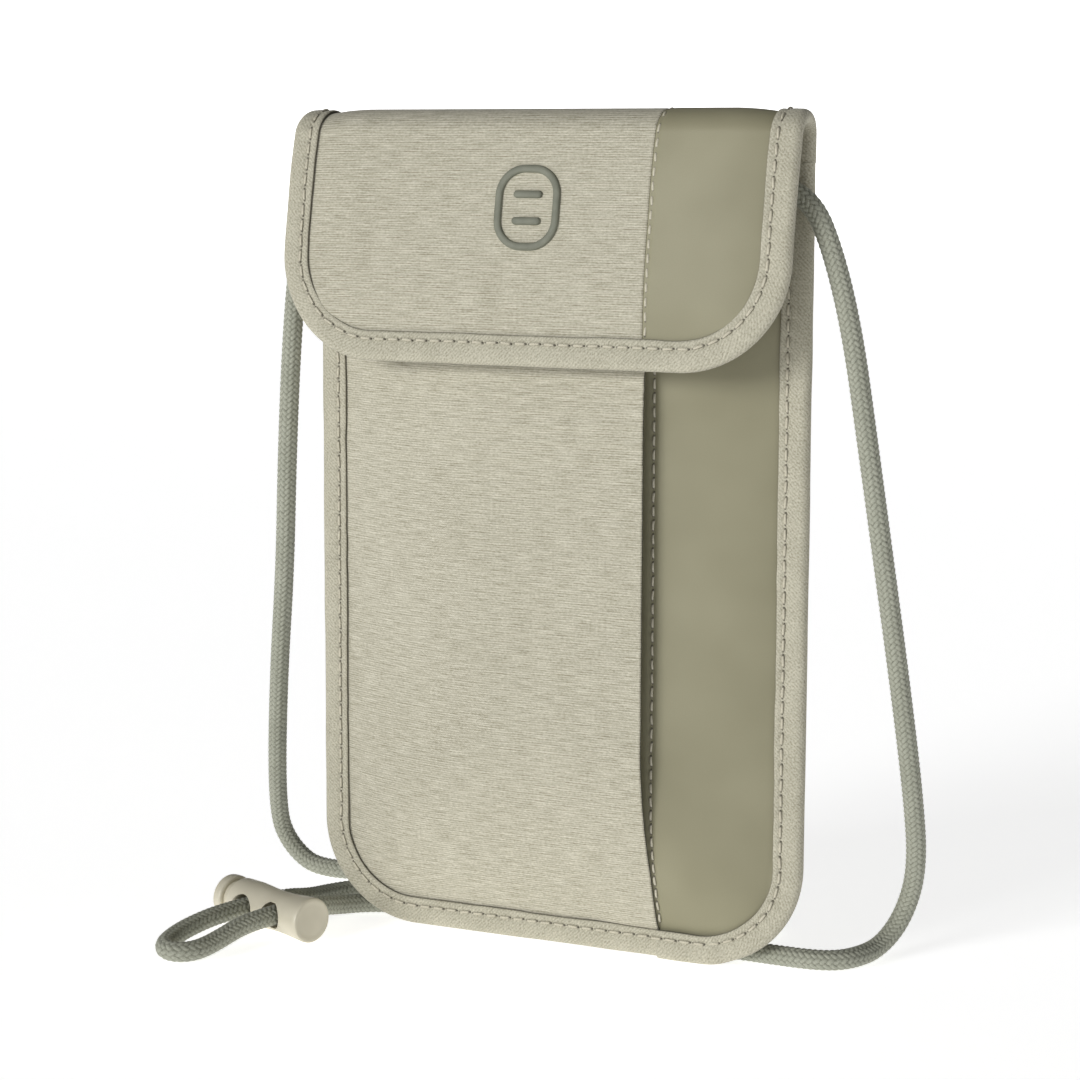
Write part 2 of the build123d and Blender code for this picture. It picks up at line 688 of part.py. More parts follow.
NODES = {
    "back_panel": back_panel,
    "back_padding": back_padding,
    "back_lining": back_lining,
    "pocket_back_panel": pocket_back_panel,
    "coated_side_panel": coated_side_panel,
    "front_padding": front_padding,
    "front_lining": front_lining,
    "front_pocket_panel": front_pocket_panel,
    "body_binding": body_binding,
    "flap_woven_panel": flap_woven_panel,
    "flap_coated_strip": flap_coated_strip,
    "flap_padding": flap_padding,
    "flap_lining": flap_lining,
    "flap_binding": flap_binding,
    "flap_badge": flap_badge,
    "flap_hook_patch": flap_hook_patch,
    "front_loop_patch": front_loop_patch,
    "body_binding_stitching": body_binding_stitching,
    "flap_binding_stitching": flap_binding_stitching,
    "flap_seam_stitching": flap_seam_stitching,
    "pocket_seam_stitching": pocket_seam_stitching,
    "cord_anchor_left": lambda: cord_anchor(-1),
    "cord_anchor_right": lambda: cord_anchor(1),
    "neck_cord_right": lambda: cord_tube("neck_cord_right", CORD_RIGHT_POINTS),
    "neck_cord_left": lambda: cord_tube("neck_cord_left", CORD_LEFT_POINTS),
    "neck_cord_hank": neck_cord_hank,
    "hank_tie": hank_tie,
    "cord_lock_barrel": cord_lock_barrel,
    "cord_lock_plunger": cord_lock_plunger,
    "cord_lock_spring": cord_lock_spring,
}

os.makedirs("parts", exist_ok=True)
for node, build in NODES.items():
    export_step(build(), f"parts/{node}.step")
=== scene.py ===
from math import cos, pi, radians, sin

import bmesh
import bpy
import numpy as np
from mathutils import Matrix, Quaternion, Vector


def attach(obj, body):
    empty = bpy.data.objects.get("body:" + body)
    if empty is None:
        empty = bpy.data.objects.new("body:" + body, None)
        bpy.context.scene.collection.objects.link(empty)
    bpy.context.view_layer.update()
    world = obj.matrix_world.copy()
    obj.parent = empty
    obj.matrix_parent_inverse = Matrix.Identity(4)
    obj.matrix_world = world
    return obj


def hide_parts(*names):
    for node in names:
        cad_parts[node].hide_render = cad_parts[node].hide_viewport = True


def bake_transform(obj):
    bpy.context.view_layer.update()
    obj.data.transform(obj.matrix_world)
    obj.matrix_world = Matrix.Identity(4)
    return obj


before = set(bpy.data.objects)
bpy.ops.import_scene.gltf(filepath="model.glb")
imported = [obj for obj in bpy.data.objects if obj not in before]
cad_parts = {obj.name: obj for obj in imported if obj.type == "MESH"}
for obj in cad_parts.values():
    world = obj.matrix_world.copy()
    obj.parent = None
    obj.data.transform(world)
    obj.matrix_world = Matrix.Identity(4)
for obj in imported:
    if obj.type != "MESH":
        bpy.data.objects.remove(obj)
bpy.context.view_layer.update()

# Lengths below are in millimetres, in the row frame, until a mesh is made.
MM = 0.001
UV_SCALE = 100.0           # millimetres of cloth in one unit of its flat coordinates
WAVE_PERIOD = pi / 10  # length in which a wave texture of scale 1 repeats

# ---- sizes repeated from the CAD source ----
HALF_BODY = 66.0
HALF_FLAP = 67.0
BACK_Y = 10.25
CORNER_RADIUS = 26.5
TAPE_WIDTH = 7.3
TAPE_THICKNESS = 0.85
SHELL = 0.6
PADDING = 1.1
LINING = 0.3
MOUTH_Z = 187.0
FOLD_Y = 4.0
FOLD_Z = 201.75
FOLD_RADIUS = 6.25
FLAP_BOTTOM_Z = 147.2
FLAP_SLOPE = radians(10.2)
SEAM_X = 30.0
STRIP_TUCK = 8.0
OVERLAP_X = 25.0
TAPE_FRONT_Y = 6.2
STITCH_INSET = 5.3
BINDING_PITCH = 3.8
SEAM_PITCH = 3.4
CORD_DIAMETER = 5.0

# ---- lines that lie a little to one side of the CAD's ----
POCKET_EDGE_X = SEAM_X - 1.1
STRIP_STITCH_X = SEAM_X - 0.5
FLAP_SEAM_X = SEAM_X + 1.2
FLAP_STITCH_X = FLAP_SEAM_X + 0.75

# ---- camera ----
FOCAL_LENGTH = 91.6
SENSOR = 36.0
CAMERA_TARGET = (-0.4, -0.75, 103.75)
CAMERA_DISTANCE = 672.8
CAMERA_AZIMUTH = radians(25.41)
CAMERA_ELEVATION = radians(7.97)
CAMERA_ROLL = radians(0.19)


def add_object(name, data):
    """A new object in the scene."""
    obj = bpy.data.objects.new(name, data)
    bpy.context.scene.collection.objects.link(obj)
    return obj


def seen_from(azimuth, elevation):
    """The direction from the pouch to a viewer or a light at these angles; 0, 0 is straight in front."""
    level = cos(elevation)
    return Vector((sin(azimuth) * level, -cos(azimuth) * level, sin(elevation)))


def add_camera():
    """The camera, at the photograph's viewing angle."""
    data = bpy.data.cameras.new("photo_camera")
    data.sensor_width = SENSOR
    data.lens = FOCAL_LENGTH
    camera = add_object("photo_camera", data)
    back = seen_from(CAMERA_AZIMUTH, CAMERA_ELEVATION)
    camera.location = (Vector(CAMERA_TARGET) + back * CAMERA_DISTANCE) * MM
    roll = Quaternion((0, 0, 1), CAMERA_ROLL)
    camera.rotation_mode = "QUATERNION"
    camera.rotation_quaternion = (-back).to_track_quat("-Z", "Y") @ roll
    bpy.context.scene.camera = camera


add_camera()


# ---- small helpers ----
def ease(t):
    """Smooth step from 0 to 1."""
    t = np.clip(t, 0.0, 1.0)
    return t * t * (3 - 2 * t)


def stacked(*parts):
    """Points from their separate coordinates, brought to one shape."""
    return np.stack(np.broadcast_arrays(*parts), -1)


def circle(count):
    """Angles spread evenly round a circle."""
    return np.arange(count) * 2 * pi / count


def crowded(t):
    """Steps from 0 to 1 that crowd towards 1, where an edge is rounded."""
    return np.sin(t * pi / 2) ** 0.9


NOISE_CELLS = 64
NOISE_SHIFT = (20.37, 11.71)


def soft_noise(x, z, size, seed):
    """Smooth noise between -1 and 1 over a plane, the same each run."""
    table = np.random.default_rng(seed).uniform(-1, 1, (NOISE_CELLS, NOISE_CELLS))
    u, w = np.asarray(x) / size + NOISE_SHIFT[0], np.asarray(z) / size + NOISE_SHIFT[1]
    iu, iw = np.floor(u).astype(int), np.floor(w).astype(int)
    fu, fw = ease(u - iu), ease(w - iw)

    def at(du, dw):
        return table[(iu + du) % NOISE_CELLS, (iw + dw) % NOISE_CELLS]

    low = at(0, 0) * (1 - fu) + at(1, 0) * fu
    high = at(0, 1) * (1 - fu) + at(1, 1) * fu
    return low * (1 - fw) + high * fw


def new_mesh(name, points, faces, uv=None, smooth_angle=50.0):
    """An object from points in millimetres. uv is one pair for each point, in millimetres."""
    points = np.asarray(points, float).reshape(-1, 3)
    mesh = bpy.data.meshes.new(name)
    mesh.from_pydata((points * MM).tolist(), [], [list(f) for f in faces])
    mesh.validate()
    if uv is not None:
        uv = np.asarray(uv, float).reshape(-1, 2) / UV_SCALE
        layer = mesh.uv_layers.new(name="cloth")
        loops = np.zeros(len(mesh.loops), int)
        mesh.loops.foreach_get("vertex_index", loops)
        layer.data.foreach_set("uv", uv[loops].ravel())
    mesh.polygons.foreach_set("use_smooth", [True] * len(mesh.polygons))
    obj = add_object(name, mesh)
    if smooth_angle:
        mesh.set_sharp_from_angle(angle=radians(smooth_angle))
    return obj


def grid_faces(rows, columns, start=0, flip=False, close_rows=False, close_columns=False):
    """Quads of a grid of points numbered row by row."""
    faces = []
    for i in range(rows if close_rows else rows - 1):
        for j in range(columns if close_columns else columns - 1):
            j2 = (j + 1) % columns
            this, following = start + i * columns, start + (i + 1) % rows * columns
            quad = [this + j, this + j2, following + j2, following + j]
            faces.append(quad[::-1] if flip else quad)
    return faces


def thick_sheet(name, front, back, uv):
    """A closed solid between two grids of points of the same shape."""
    rows, columns = front.shape[:2]
    count = rows * columns
    points = np.concatenate([front.reshape(-1, 3), back.reshape(-1, 3)])
    faces = grid_faces(rows, columns) + grid_faces(rows, columns, start=count, flip=True)
    ring = list(range(columns))
    ring += [i * columns + columns - 1 for i in range(1, rows)]
    ring += [(rows - 1) * columns + j for j in range(columns - 2, -1, -1)]
    ring += [i * columns for i in range(rows - 2, 0, -1)]
    for a, b in zip(ring, ring[1:] + ring[:1]):
        faces.append([b, a, a + count, b + count])
    return new_mesh(name, points, faces, np.concatenate([uv.reshape(-1, 2)] * 2))


def ring_faces(stations, ring, start=0, flip=False):
    """Faces of a tube of rings, with its two ends closed."""
    ends = [[start + j for j in range(ring)][::-1], [start + (stations - 1) * ring + j for j in range(ring)]]
    faces = grid_faces(stations, ring, start, flip, close_columns=True)
    return faces + [end[::-1] if flip else end for end in ends]


def swept(name, loops, uv, smooth_angle=50.0):
    """A solid from rings of points: loops has shape (stations, ring, 3)."""
    return new_mesh(name, loops, ring_faces(*loops.shape[:2]), uv, smooth_angle)


def point_values(obj, name, values):
    """Stores one number for each point of a mesh."""
    attribute = obj.data.attributes.new(name, "FLOAT", "POINT")
    attribute.data.foreach_set("value", np.asarray(values, np.float32).ravel())


def unit(v):
    """Vectors of length 1."""
    return v / np.maximum(np.linalg.norm(v, axis=-1, keepdims=True), 1e-12)


# ---- materials ----
def linear(r, g, b):
    """A linear colour from a screen colour of 0 to 255."""
    def one(c):
        c /= 255
        return c / 12.92 if c <= 0.04045 else ((c + 0.055) / 1.055) ** 2.4

    return (one(r), one(g), one(b), 1.0)


class Look:
    """A node material under construction."""

    def __init__(self, name):
        self.material = bpy.data.materials.new(name)
        self.material.use_nodes = True
        self.tree = self.material.node_tree
        self.shader = self.tree.nodes["Principled BSDF"]

    def add(self, kind, inputs=None, output=0, **settings):
        node = self.tree.nodes.new(kind)
        for key, value in settings.items():
            setattr(node, key, value)
        for key, value in (inputs or {}).items():
            self.put(node, key, value)
        return node.outputs[output]

    def put(self, node, key, value):
        if isinstance(value, bpy.types.NodeSocket):
            self.tree.links.new(value, node.inputs[key])
        else:
            node.inputs[key].default_value = value

    def set(self, **values):
        for key, value in values.items():
            self.put(self.shader, key.replace("_", " "), value)

    def math(self, operation, a, b=0.0):
        return self.add("ShaderNodeMath", {0: a, 1: b}, operation=operation)

    def scaled(self, vector, x, y, z=1.0):
        """The vector with each part multiplied."""
        return self.add("ShaderNodeVectorMath", {0: vector, 1: (x, y, z)}, operation="MULTIPLY")

    def cloth(self):
        """Flat cloth coordinates, in millimetres."""
        uv = self.add("ShaderNodeUVMap", uv_map="cloth")
        return self.scaled(uv, UV_SCALE, UV_SCALE, 0.0)

    def attribute(self, name):
        """A number stored at each point of the mesh."""
        return self.add("ShaderNodeAttribute", attribute_name=name, output=2)

    def total(self, *parts):
        """The sum of several values, each times its weight."""
        terms = [self.math("MULTIPLY", value, weight) for value, weight in parts]
        result = terms[0]
        for term in terms[1:]:
            result = self.math("ADD", result, term)
        return result

    def place(self):
        """Coordinates on the object, in millimetres."""
        coordinates = self.add("ShaderNodeTexCoord", output=3)
        return self.scaled(coordinates, 1 / MM, 1 / MM, 1 / MM)

    def noise(self, vector, scale, detail=2.0, roughness=0.5):
        return self.add("ShaderNodeTexNoise", {
            "Vector": vector, "Scale": scale, "Detail": detail, "Roughness": roughness,
        })

    def wave(self, vector, period, direction, distortion=0.0, detail=1.0):
        return self.add("ShaderNodeTexWave", {
            "Vector": vector, "Scale": WAVE_PERIOD / period, "Distortion": distortion,
            "Detail": detail, "Detail Scale": 1.5,
        }, bands_direction=direction, output=1)

    def mix(self, factor, a, b, blend="MIX"):
        node = self.tree.nodes.new("ShaderNodeMix")
        node.data_type = "RGBA"
        node.blend_type = blend
        self.put(node, 0, factor)
        self.put(node, 6, a)
        self.put(node, 7, b)
        return node.outputs[2]

    def remap(self, value, low, high, to_low, to_high):
        return self.add("ShaderNodeMapRange", {
            "Value": value, "From Min": low, "From Max": high, "To Min": to_low, "To Max": to_high,
        })

    def ramp(self, value, low, high, dark, light):
        """From one screen colour to another as the value rises from low to high."""
        return self.mix(self.remap(value, low, high, 0, 1), linear(*dark), linear(*light))

    def finish(self, colour, roughness, height, distance, strength, **others):
        """Sets the shader, with a relief of this distance in millimetres, and gives the material."""
        self.set(Base_Color=colour, Roughness=roughness, **others)
        relief = {"Height": height, "Distance": distance * MM, "Strength": strength}
        self.put(self.shader, "Normal", self.add("ShaderNodeBump", relief))
        return self.material


CLOTH_SHEEN = {"IOR": 1.4, "Sheen_Weight": 0.12, "Sheen_Roughness": 0.5, "Specular_IOR_Level": 0.25}


def woven_look():
    """Light greige plain weave with fine cross ribs and slubs, and painted shade where the mesh marks it."""
    look = Look("woven_fabric")
    cloth = look.cloth()
    ribs = look.wave(cloth, 0.57, "Y", distortion=0.35)
    warp = look.wave(cloth, 0.43, "X", distortion=0.35)
    slub = look.noise(look.scaled(cloth, 0.17, 2.5), 1.0, 2.0, 0.65)
    grain = look.noise(look.scaled(cloth, 1.3, 2.3), 1.0, 1.0)
    broad = look.noise(cloth, 0.03, 2.0)
    tone = look.total((slub, 0.9), (grain, 0.55), (ribs, 0.22), (broad, 0.12))
    colour = look.ramp(tone, 0.58, 1.2, (144, 139, 119), (207, 203, 186))
    # painted shade: darkens the cloth where the mesh marks it, at the pocket's free edge
    colour = look.mix(look.math("MULTIPLY", look.attribute("painted_shade"), 0.9), colour, linear(50, 47, 38))
    height = look.total((ribs, 0.6), (warp, 0.35), (slub, 0.6))
    return look.finish(colour, 0.86, height, 0.09, 0.8, **CLOTH_SHEEN)


def coated_look():
    """Smooth matte coated cloth with a very fine grain."""
    look = Look("coated_fabric")
    cloth = look.cloth()
    broad = look.noise(cloth, 0.035, 2.0)
    grain = look.add("ShaderNodeTexVoronoi", {"Vector": cloth, "Scale": 3.2, "Randomness": 1.0})
    fine = look.noise(cloth, 4.5, 2.0)
    colour = look.ramp(broad, 0.3, 0.7, (136, 132, 107), (148, 144, 119))
    colour = look.mix(look.remap(fine, 0.35, 0.65, 0.0, 0.12), colour, linear(116, 113, 91))
    roughness = look.remap(fine, 0.3, 0.7, 0.5, 0.62)
    height = look.total((grain, 0.6), (fine, 0.5))
    return look.finish(colour, roughness, height, 0.02, 0.5, IOR=1.45, Specular_IOR_Level=0.4)


def tape_look():
    """Fine knitted binding tape, slightly heathered, with painted shade on its inner side wall."""
    look = Look("binding_tape")
    cloth = look.cloth()
    ribs = look.wave(cloth, 0.5, "DIAGONAL", distortion=3.0)
    heather = look.noise(cloth, 1.9, 3.0, 0.7)
    broad = look.noise(cloth, 0.12, 2.0)
    tone = look.total((heather, 1.0), (ribs, 0.12), (broad, 0.2))
    colour = look.ramp(tone, 0.46, 0.8, (148, 144, 126), (194, 190, 172))
    # painted shade: the tape's inner side wall darkened into a shadow line beside the cloth
    colour = look.mix(look.math("MULTIPLY", look.attribute("painted_shade"), 0.85), colour, linear(60, 57, 46))
    return look.finish(colour, 0.88, look.total((ribs, 0.3), (heather, 1.0)), 0.1, 0.8, **CLOTH_SHEEN)


def cord_look():
    """Braided cord: each strand of fine yarns, with painted shade between strands."""
    look = Look("cord")
    cloth = look.cloth()
    relief = look.attribute("relief")
    lines = look.math("SINE", look.math("MULTIPLY", look.attribute("yarn"), 25.0))
    yarn = look.noise(look.scaled(cloth, 3.2, 3.2), 1.0, 2.0, 0.6)
    broad = look.noise(cloth, 0.1, 1.0)
    tone = look.total((yarn, 0.5), (broad, 0.15), (lines, 0.05))
    colour = look.ramp(tone, 0.2, 0.5, (144, 146, 131), (186, 187, 172))
    # painted shade in the gaps between strands, where the relief is low
    colour = look.mix(look.remap(relief, 0.1, 0.65, 0.68, 0.0), colour, linear(80, 80, 67))
    sheen = {**CLOTH_SHEEN, "Sheen_Weight": 0.15, "Specular_IOR_Level": 0.3}
    return look.finish(colour, 0.8, look.total((yarn, 1.0), (lines, 0.3)), 0.07, 0.6, **sheen)


def thread_look():
    """Spun sewing thread, darkened with painted shade where it dips into its needle holes."""
    look = Look("thread")
    cloth = look.cloth()
    twist = look.wave(cloth, 0.3, "DIAGONAL")
    fibre = look.noise(cloth, 3.0, 2.0)
    colour = look.mix(fibre, linear(172, 166, 146), linear(210, 205, 186))
    # painted shade at the thread's ends, where it dips into the needle holes
    hole_shade = look.remap(look.attribute("hole"), 0.3, 0.95, 0.0, 0.85)
    colour = look.mix(hole_shade, colour, linear(56, 52, 42))
    return look.finish(colour, 0.6, look.math("ADD", twist, fibre), 0.05, 0.7, IOR=1.45)


def moulded_look(name, patches, grain, dark, light, roughness, relief):
    """Moulded plastic or rubber: faint patches of colour and a fine grain."""
    look = Look(name)
    place = look.place()
    fine = look.noise(place, *grain)
    colour = look.ramp(look.noise(place, patches, 2.0), 0.3, 0.7, dark, light)
    return look.finish(colour, look.remap(fine, 0.3, 0.7, *roughness), fine, *relief, IOR=1.5)


def lining_look():
    """Thin smooth plain-weave lining."""
    look = Look("lining")
    cloth = look.cloth()
    weft = look.wave(cloth, 0.3, "Y", distortion=0.2)
    warp = look.wave(cloth, 0.3, "X", distortion=0.2)
    broad = look.noise(cloth, 0.08, 3.0)
    colour = look.mix(broad, linear(146, 141, 122), linear(164, 159, 139))
    return look.finish(colour, 0.7, look.math("MULTIPLY", weft, warp), 0.04, 0.8, IOR=1.45)


def foam_look():
    """Open-cell foam."""
    look = Look("foam")
    cells = look.add("ShaderNodeTexVoronoi", {"Vector": look.place(), "Scale": 1.6})
    colour = look.mix(cells, linear(196, 192, 182), linear(224, 221, 212))
    return look.finish(colour, 0.95, cells, 0.2, 0.8, IOR=1.3)


def closure_look():
    """Hook and loop closure tape."""
    look = Look("closure_tape")
    cloth = look.cloth()
    loops = look.add("ShaderNodeTexVoronoi", {"Vector": cloth, "Scale": 2.2})
    fuzz = look.noise(cloth, 3.0, 3.0)
    colour = look.mix(look.math("MULTIPLY", loops, 1.3), linear(176, 170, 148), linear(134, 129, 108))
    height = look.math("ADD", loops, fuzz)
    return look.finish(colour, 0.9, height, 0.25, 0.9, Sheen_Weight=0.2, IOR=1.4)


def steel_look():
    """Drawn spring wire."""
    look = Look("spring_steel")
    streaks = look.noise(look.scaled(look.place(), 0.8, 6.0, 6.0), 1.0, 2.0)
    colour = look.mix(streaks, linear(150, 150, 152), linear(190, 190, 192))
    roughness = look.remap(streaks, 0.3, 0.7, 0.25, 0.4)
    return look.finish(colour, roughness, streaks, 0.01, 0.4, Metallic=1.0)


LOOKS = dict(
    woven_fabric=woven_look(), coated_fabric=coated_look(), binding_tape=tape_look(), cord=cord_look(),
    thread=thread_look(), lining=lining_look(), foam=foam_look(), closure_tape=closure_look(),
    spring_steel=steel_look(),
    lock_plastic=moulded_look(
        "lock_plastic", 0.12, (3.5, 2.0), (199, 193, 173), (209, 203, 183), (0.36, 0.46), (0.01, 0.5),
    ),
    badge_rubber=moulded_look(
        "badge_rubber", 0.3, (3.0, 3.0), (106, 108, 94), (120, 122, 107), (0.55, 0.7), (0.02, 0.6),
    ),
)


def dress(obj, slot, *nodes, body=None):
    """Gives a piece its material and slot, hides the CAD nodes it stands for, and attaches it to its body.
    """
    obj.data.materials.clear()
    obj.data.materials.append(LOOKS[slot])
    if nodes:
        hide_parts(*nodes)
    if body:
        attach(obj, body)
    return obj


# ---- the neck cord ----
CORD_RIGHT_POINTS = [
    (46.0, 4.6, 191.2), (57.0, 3.2, 191.2), (67.4, 2.9, 187.0), (72.9, 2.9, 174.6),
    (77.2, 4.6, 156.0), (80.4, 7.2, 131.0), (83.4, 12.0, 102.0), (85.6, 19.0, 73.0),
    (87.0, 27.6, 43.0), (86.4, 34.6, 23.0), (82.6, 36.4, 10.0), (78.2, 31.0, 2.5),
    (74.8, 18.5, 2.5), (68.6, 14.2, 2.5), (56.0, 14.0, 2.5), (33.0, 15.2, 2.5),
    (0.0, 17.6, 2.5), (-27.0, 17.8, 2.5), (-44.0, 16.6, 2.5), (-56.4, 12.2, 2.5),
    (-60.8, 3.4, 3.4), (-61.8, -7.4, 5.75), (-69.0, -27.1, 5.75), (-71.6, -38.6, 3.0),
    (-72.8, -45.6, 2.5), (-76.3, -48.8, 2.5), (-80.8, -47.4, 2.5), (-83.0, -42.4, 2.9),
    (-82.6, -34.7, 4.2), (-79.3, -23.3, 5.75), (-72.1, -3.6, 5.75), (-70.6, 6.4, 3.5),
    (-69.4, 17.2, 2.5), (-63.4, 25.6, 2.5), (-51.5, 27.8, 2.9), (-37.5, 27.0, 3.3),
]
CORD_LEFT_POINTS = [
    (-37.5, 47.0, 8.3), (-50.0, 47.2, 7.2), (-63.0, 43.0, 3.6), (-76.0, 38.2, 2.5),
    (-87.2, 38.8, 2.5), (-92.6, 39.4, 5.0), (-96.5, 38.9, 9.6), (-98.0, 37.3, 15.6),
    (-94.9, 31.0, 31.0), (-87.6, 20.4, 60.0), (-80.4, 12.0, 90.0), (-75.6, 5.6, 121.0),
    (-72.2, 2.6, 150.0), (-70.2, 2.9, 171.0), (-66.6, 2.9, 184.6), (-57.0, 3.2, 191.2),
    (-46.0, 4.6, 191.2),
]
HANK_END_X = 37.5
HANK_Y = 37.0
HANK_BEND = 10.0
HANK_HEIGHTS = (3.3, 8.3)
LOOP_ANGLES = (-67.5, -22.5, 22.5, 67.5)
LOOP_REACH = HANK_BEND / cos(radians(22.5))
LOOP_LEAD_X = 33.4
RISING_HEIGHTS = (3.3, 4.4, 7.4, 8.3)


def hank_points():
    """The hank's two flat turns, one on the other."""
    low, high = HANK_HEIGHTS

    def half_loop(side, heights):
        points = [(side * LOOP_LEAD_X, HANK_Y - side * HANK_BEND, heights[0])]
        for angle, z in zip(LOOP_ANGLES, heights):
            turn = radians(angle)
            x = side * (HANK_END_X + LOOP_REACH * cos(turn))
            points.append((x, HANK_Y + side * LOOP_REACH * sin(turn), z))
        points.append((side * LOOP_LEAD_X, HANK_Y + side * HANK_BEND, heights[-1]))
        return points

    points = half_loop(1, [low] * 4)
    points += half_loop(-1, RISING_HEIGHTS)
    points += half_loop(1, [high] * 4)
    return points


CORD_POINTS = CORD_RIGHT_POINTS + hank_points() + CORD_LEFT_POINTS


def spline_line(points):
    """Points along the NURBS spline that has these control points, in millimetres."""
    curve = bpy.data.curves.new("cord_route", "CURVE")
    curve.dimensions = "3D"
    curve.resolution_u = 16
    spline = curve.splines.new("NURBS")
    spline.points.add(len(points) - 1)
    for target, point in zip(spline.points, points):
        target.co = (point[0] * MM, point[1] * MM, point[2] * MM, 1.0)
    spline.order_u = 3
    spline.use_endpoint_u = True
    route = add_object("cord_route", curve)
    bpy.context.view_layer.update()
    mesh = bpy.data.meshes.new_from_object(route)
    line = np.array([v.co for v in mesh.vertices], float) / MM
    bpy.data.objects.remove(route)
    bpy.data.meshes.remove(mesh)
    bpy.data.curves.remove(curve)
    return line


def distances(line):
    """How far along a line each of its points is."""
    return np.concatenate([[0], np.cumsum(np.linalg.norm(np.diff(line, axis=0), axis=1))])


def evenly(line, step):
    """The same line with points a fixed distance apart."""
    runs = np.linalg.norm(np.diff(line, axis=0), axis=1)
    keep = np.concatenate([[True], runs > 1e-6])
    line = line[keep]
    along = distances(line)
    count = max(int(round(along[-1] / step)), 2)
    stations = np.linspace(0, along[-1], count + 1)
    return np.stack([np.interp(stations, along, line[:, k]) for k in range(3)], -1), stations


def frames_along(line):
    """Tangents and two cross directions that don't twist along a line."""
    tangents = unit(np.gradient(line, axis=0))
    side = np.cross(tangents[0], (0, 0, 1.0))
    if np.linalg.norm(side) < 0.1:
        side = np.cross(tangents[0], (0, 1.0, 0))
    sides = [side / np.linalg.norm(side)]
    for tangent in tangents[1:]:
        side = sides[-1] - tangent * (sides[-1] @ tangent)
        sides.append(side / np.linalg.norm(side))
    sides = np.array(sides)
    return tangents, sides, np.cross(tangents, sides)


BRAID_STRANDS = 10         # strands in each direction
BRAID_LEAD = 14.5          # length along the cord of one full turn of a strand
BRAID_RELIEF = 0.36
BRAID_STEP = 0.27
BRAID_AROUND = 60


def braided_cord():
    """The whole neck cord as a tube whose surface is a two over, two under braid."""
    line, stations = evenly(spline_line(CORD_POINTS), BRAID_STEP)
    _, sides, ups = frames_along(line)
    angle = circle(BRAID_AROUND)
    turn = BRAID_STRANDS * angle / (2 * pi)
    climb = BRAID_STRANDS * stations / BRAID_LEAD
    a = turn[None, :] + climb[:, None]
    b = turn[None, :] - climb[:, None]
    rising, falling = np.floor(a), np.floor(b)
    across_a, across_b = a - rising - 0.5, b - falling - 0.5
    phase = (rising + falling) % 4
    rising_on_top = phase < 2
    across = np.where(rising_on_top, across_a, across_b)
    along = np.where(rising_on_top, across_b + phase - 0.5, across_a + phase - 2.5)
    relief = np.sqrt(np.clip(1 - (2 * across) ** 2, 0, 1)) * (1 - 0.8 * np.abs(along) ** 3)
    radius = CORD_DIAMETER / 2 - BRAID_RELIEF * (1 - relief) + 0.04
    loops = (
        line[:, None, :]
        + sides[:, None, :] * (radius * np.cos(angle))[..., None]
        + ups[:, None, :] * (radius * np.sin(angle))[..., None]
    )
    cord = swept("neck_cord", loops, stacked(angle * CORD_DIAMETER / 2, stations[:, None]))
    # relief also sets the cord's painted shade between strands
    point_values(cord, "relief", relief)
    point_values(cord, "yarn", np.where(rising_on_top, across_a, across_b))
    dress(cord, "cord", "neck_cord_right", "neck_cord_left", "neck_cord_hank", body="pouch")
    return cord, line


cord, cord_line = braided_cord()


# ---- shapes of the stuffed pouch ----
GROOVE_FRONT_Y = TAPE_FRONT_Y + TAPE_THICKNESS
GROOVE_BACK_Y = BACK_Y - TAPE_THICKNESS
POCKET_RISE = 13.05
POCKET_REACH = 48.7
POCKET_POWER = 2.8
SHELL_RISE = 7.75
SHELL_REACH = 36.7
SHELL_POWER = 2.1
FAR = 40.0


def lack(distance, reach):
    """How far short of the full bulge the cloth is at a distance from where it is held."""
    return (1 - np.clip((distance - TAPE_WIDTH) / reach, 0, 1)) ** 2


def joined(power, *lacks):
    """Several lacks together: the share of the bulge that is left."""
    total = sum(l ** power for l in lacks) ** (1 / power)
    return 1 - np.minimum(total, 1)


HEM_STAND_OFF = 1.0
HEM_FREE_X = 8.0           # right of this the pocket stands clear of the shell
HEM_PULL = 0.8
POCKET_TOP = (134.0, 0.176, 0.261)
SHELL_TOP = (170.0, 0.0, 0.13)


def top_lack(z, start, slope, curve):
    """How far short of the full bulge the cloth is towards its top edge."""
    up = np.clip((z - start) / (MOUTH_Z - start), 0, 1)
    return slope * up + curve * up ** 2


def pocket_y(x, z):
    """The front pocket's outer surface: held at the left and the bottom, free at the right."""
    left, bottom = lack(x + HALF_BODY, POCKET_REACH), lack(z, POCKET_REACH)
    share = joined(POCKET_POWER, left, bottom, top_lack(z, *POCKET_TOP))
    pull = HEM_PULL * ease((x - 10) / 20) * ease((60 - z) / 50)
    front = GROOVE_FRONT_Y - POCKET_RISE * share + pull
    clear = shell_y(x, z) - HEM_STAND_OFF * ease((z - 5.5) / 4) * ease((x - HEM_FREE_X) / 14)
    return np.minimum(front, clear + FAR * ease((HEM_FREE_X - x) / 2))


def shell_y(x, z):
    """The surface behind the pocket, which shows at the right."""
    left, right = lack(x + HALF_BODY, SHELL_REACH), lack(HALF_BODY - x, SHELL_REACH)
    share = joined(SHELL_POWER, left, right, lack(z, SHELL_REACH), top_lack(z, *SHELL_TOP))
    return GROOVE_FRONT_Y - SHELL_RISE * share


def half_width(z, half, bottom, inset):
    """Half the width of a bound outline at height z, inset from its edge."""
    radius = CORNER_RADIUS - inset
    down = np.clip(bottom + CORNER_RADIUS - z, 0, radius)
    return half - CORNER_RADIUS + np.sqrt(radius ** 2 - down ** 2)


def bottom_rows(low, high, count):
    """Heights that crowd towards the bottom, where the outline curves."""
    t = np.linspace(0, 1, count)
    return low + (high - low) * (0.35 * t ** 2 + 0.65 * t)


UNDER_TAPE = 3.0           # the cloth runs this far inside the outline, under the tape


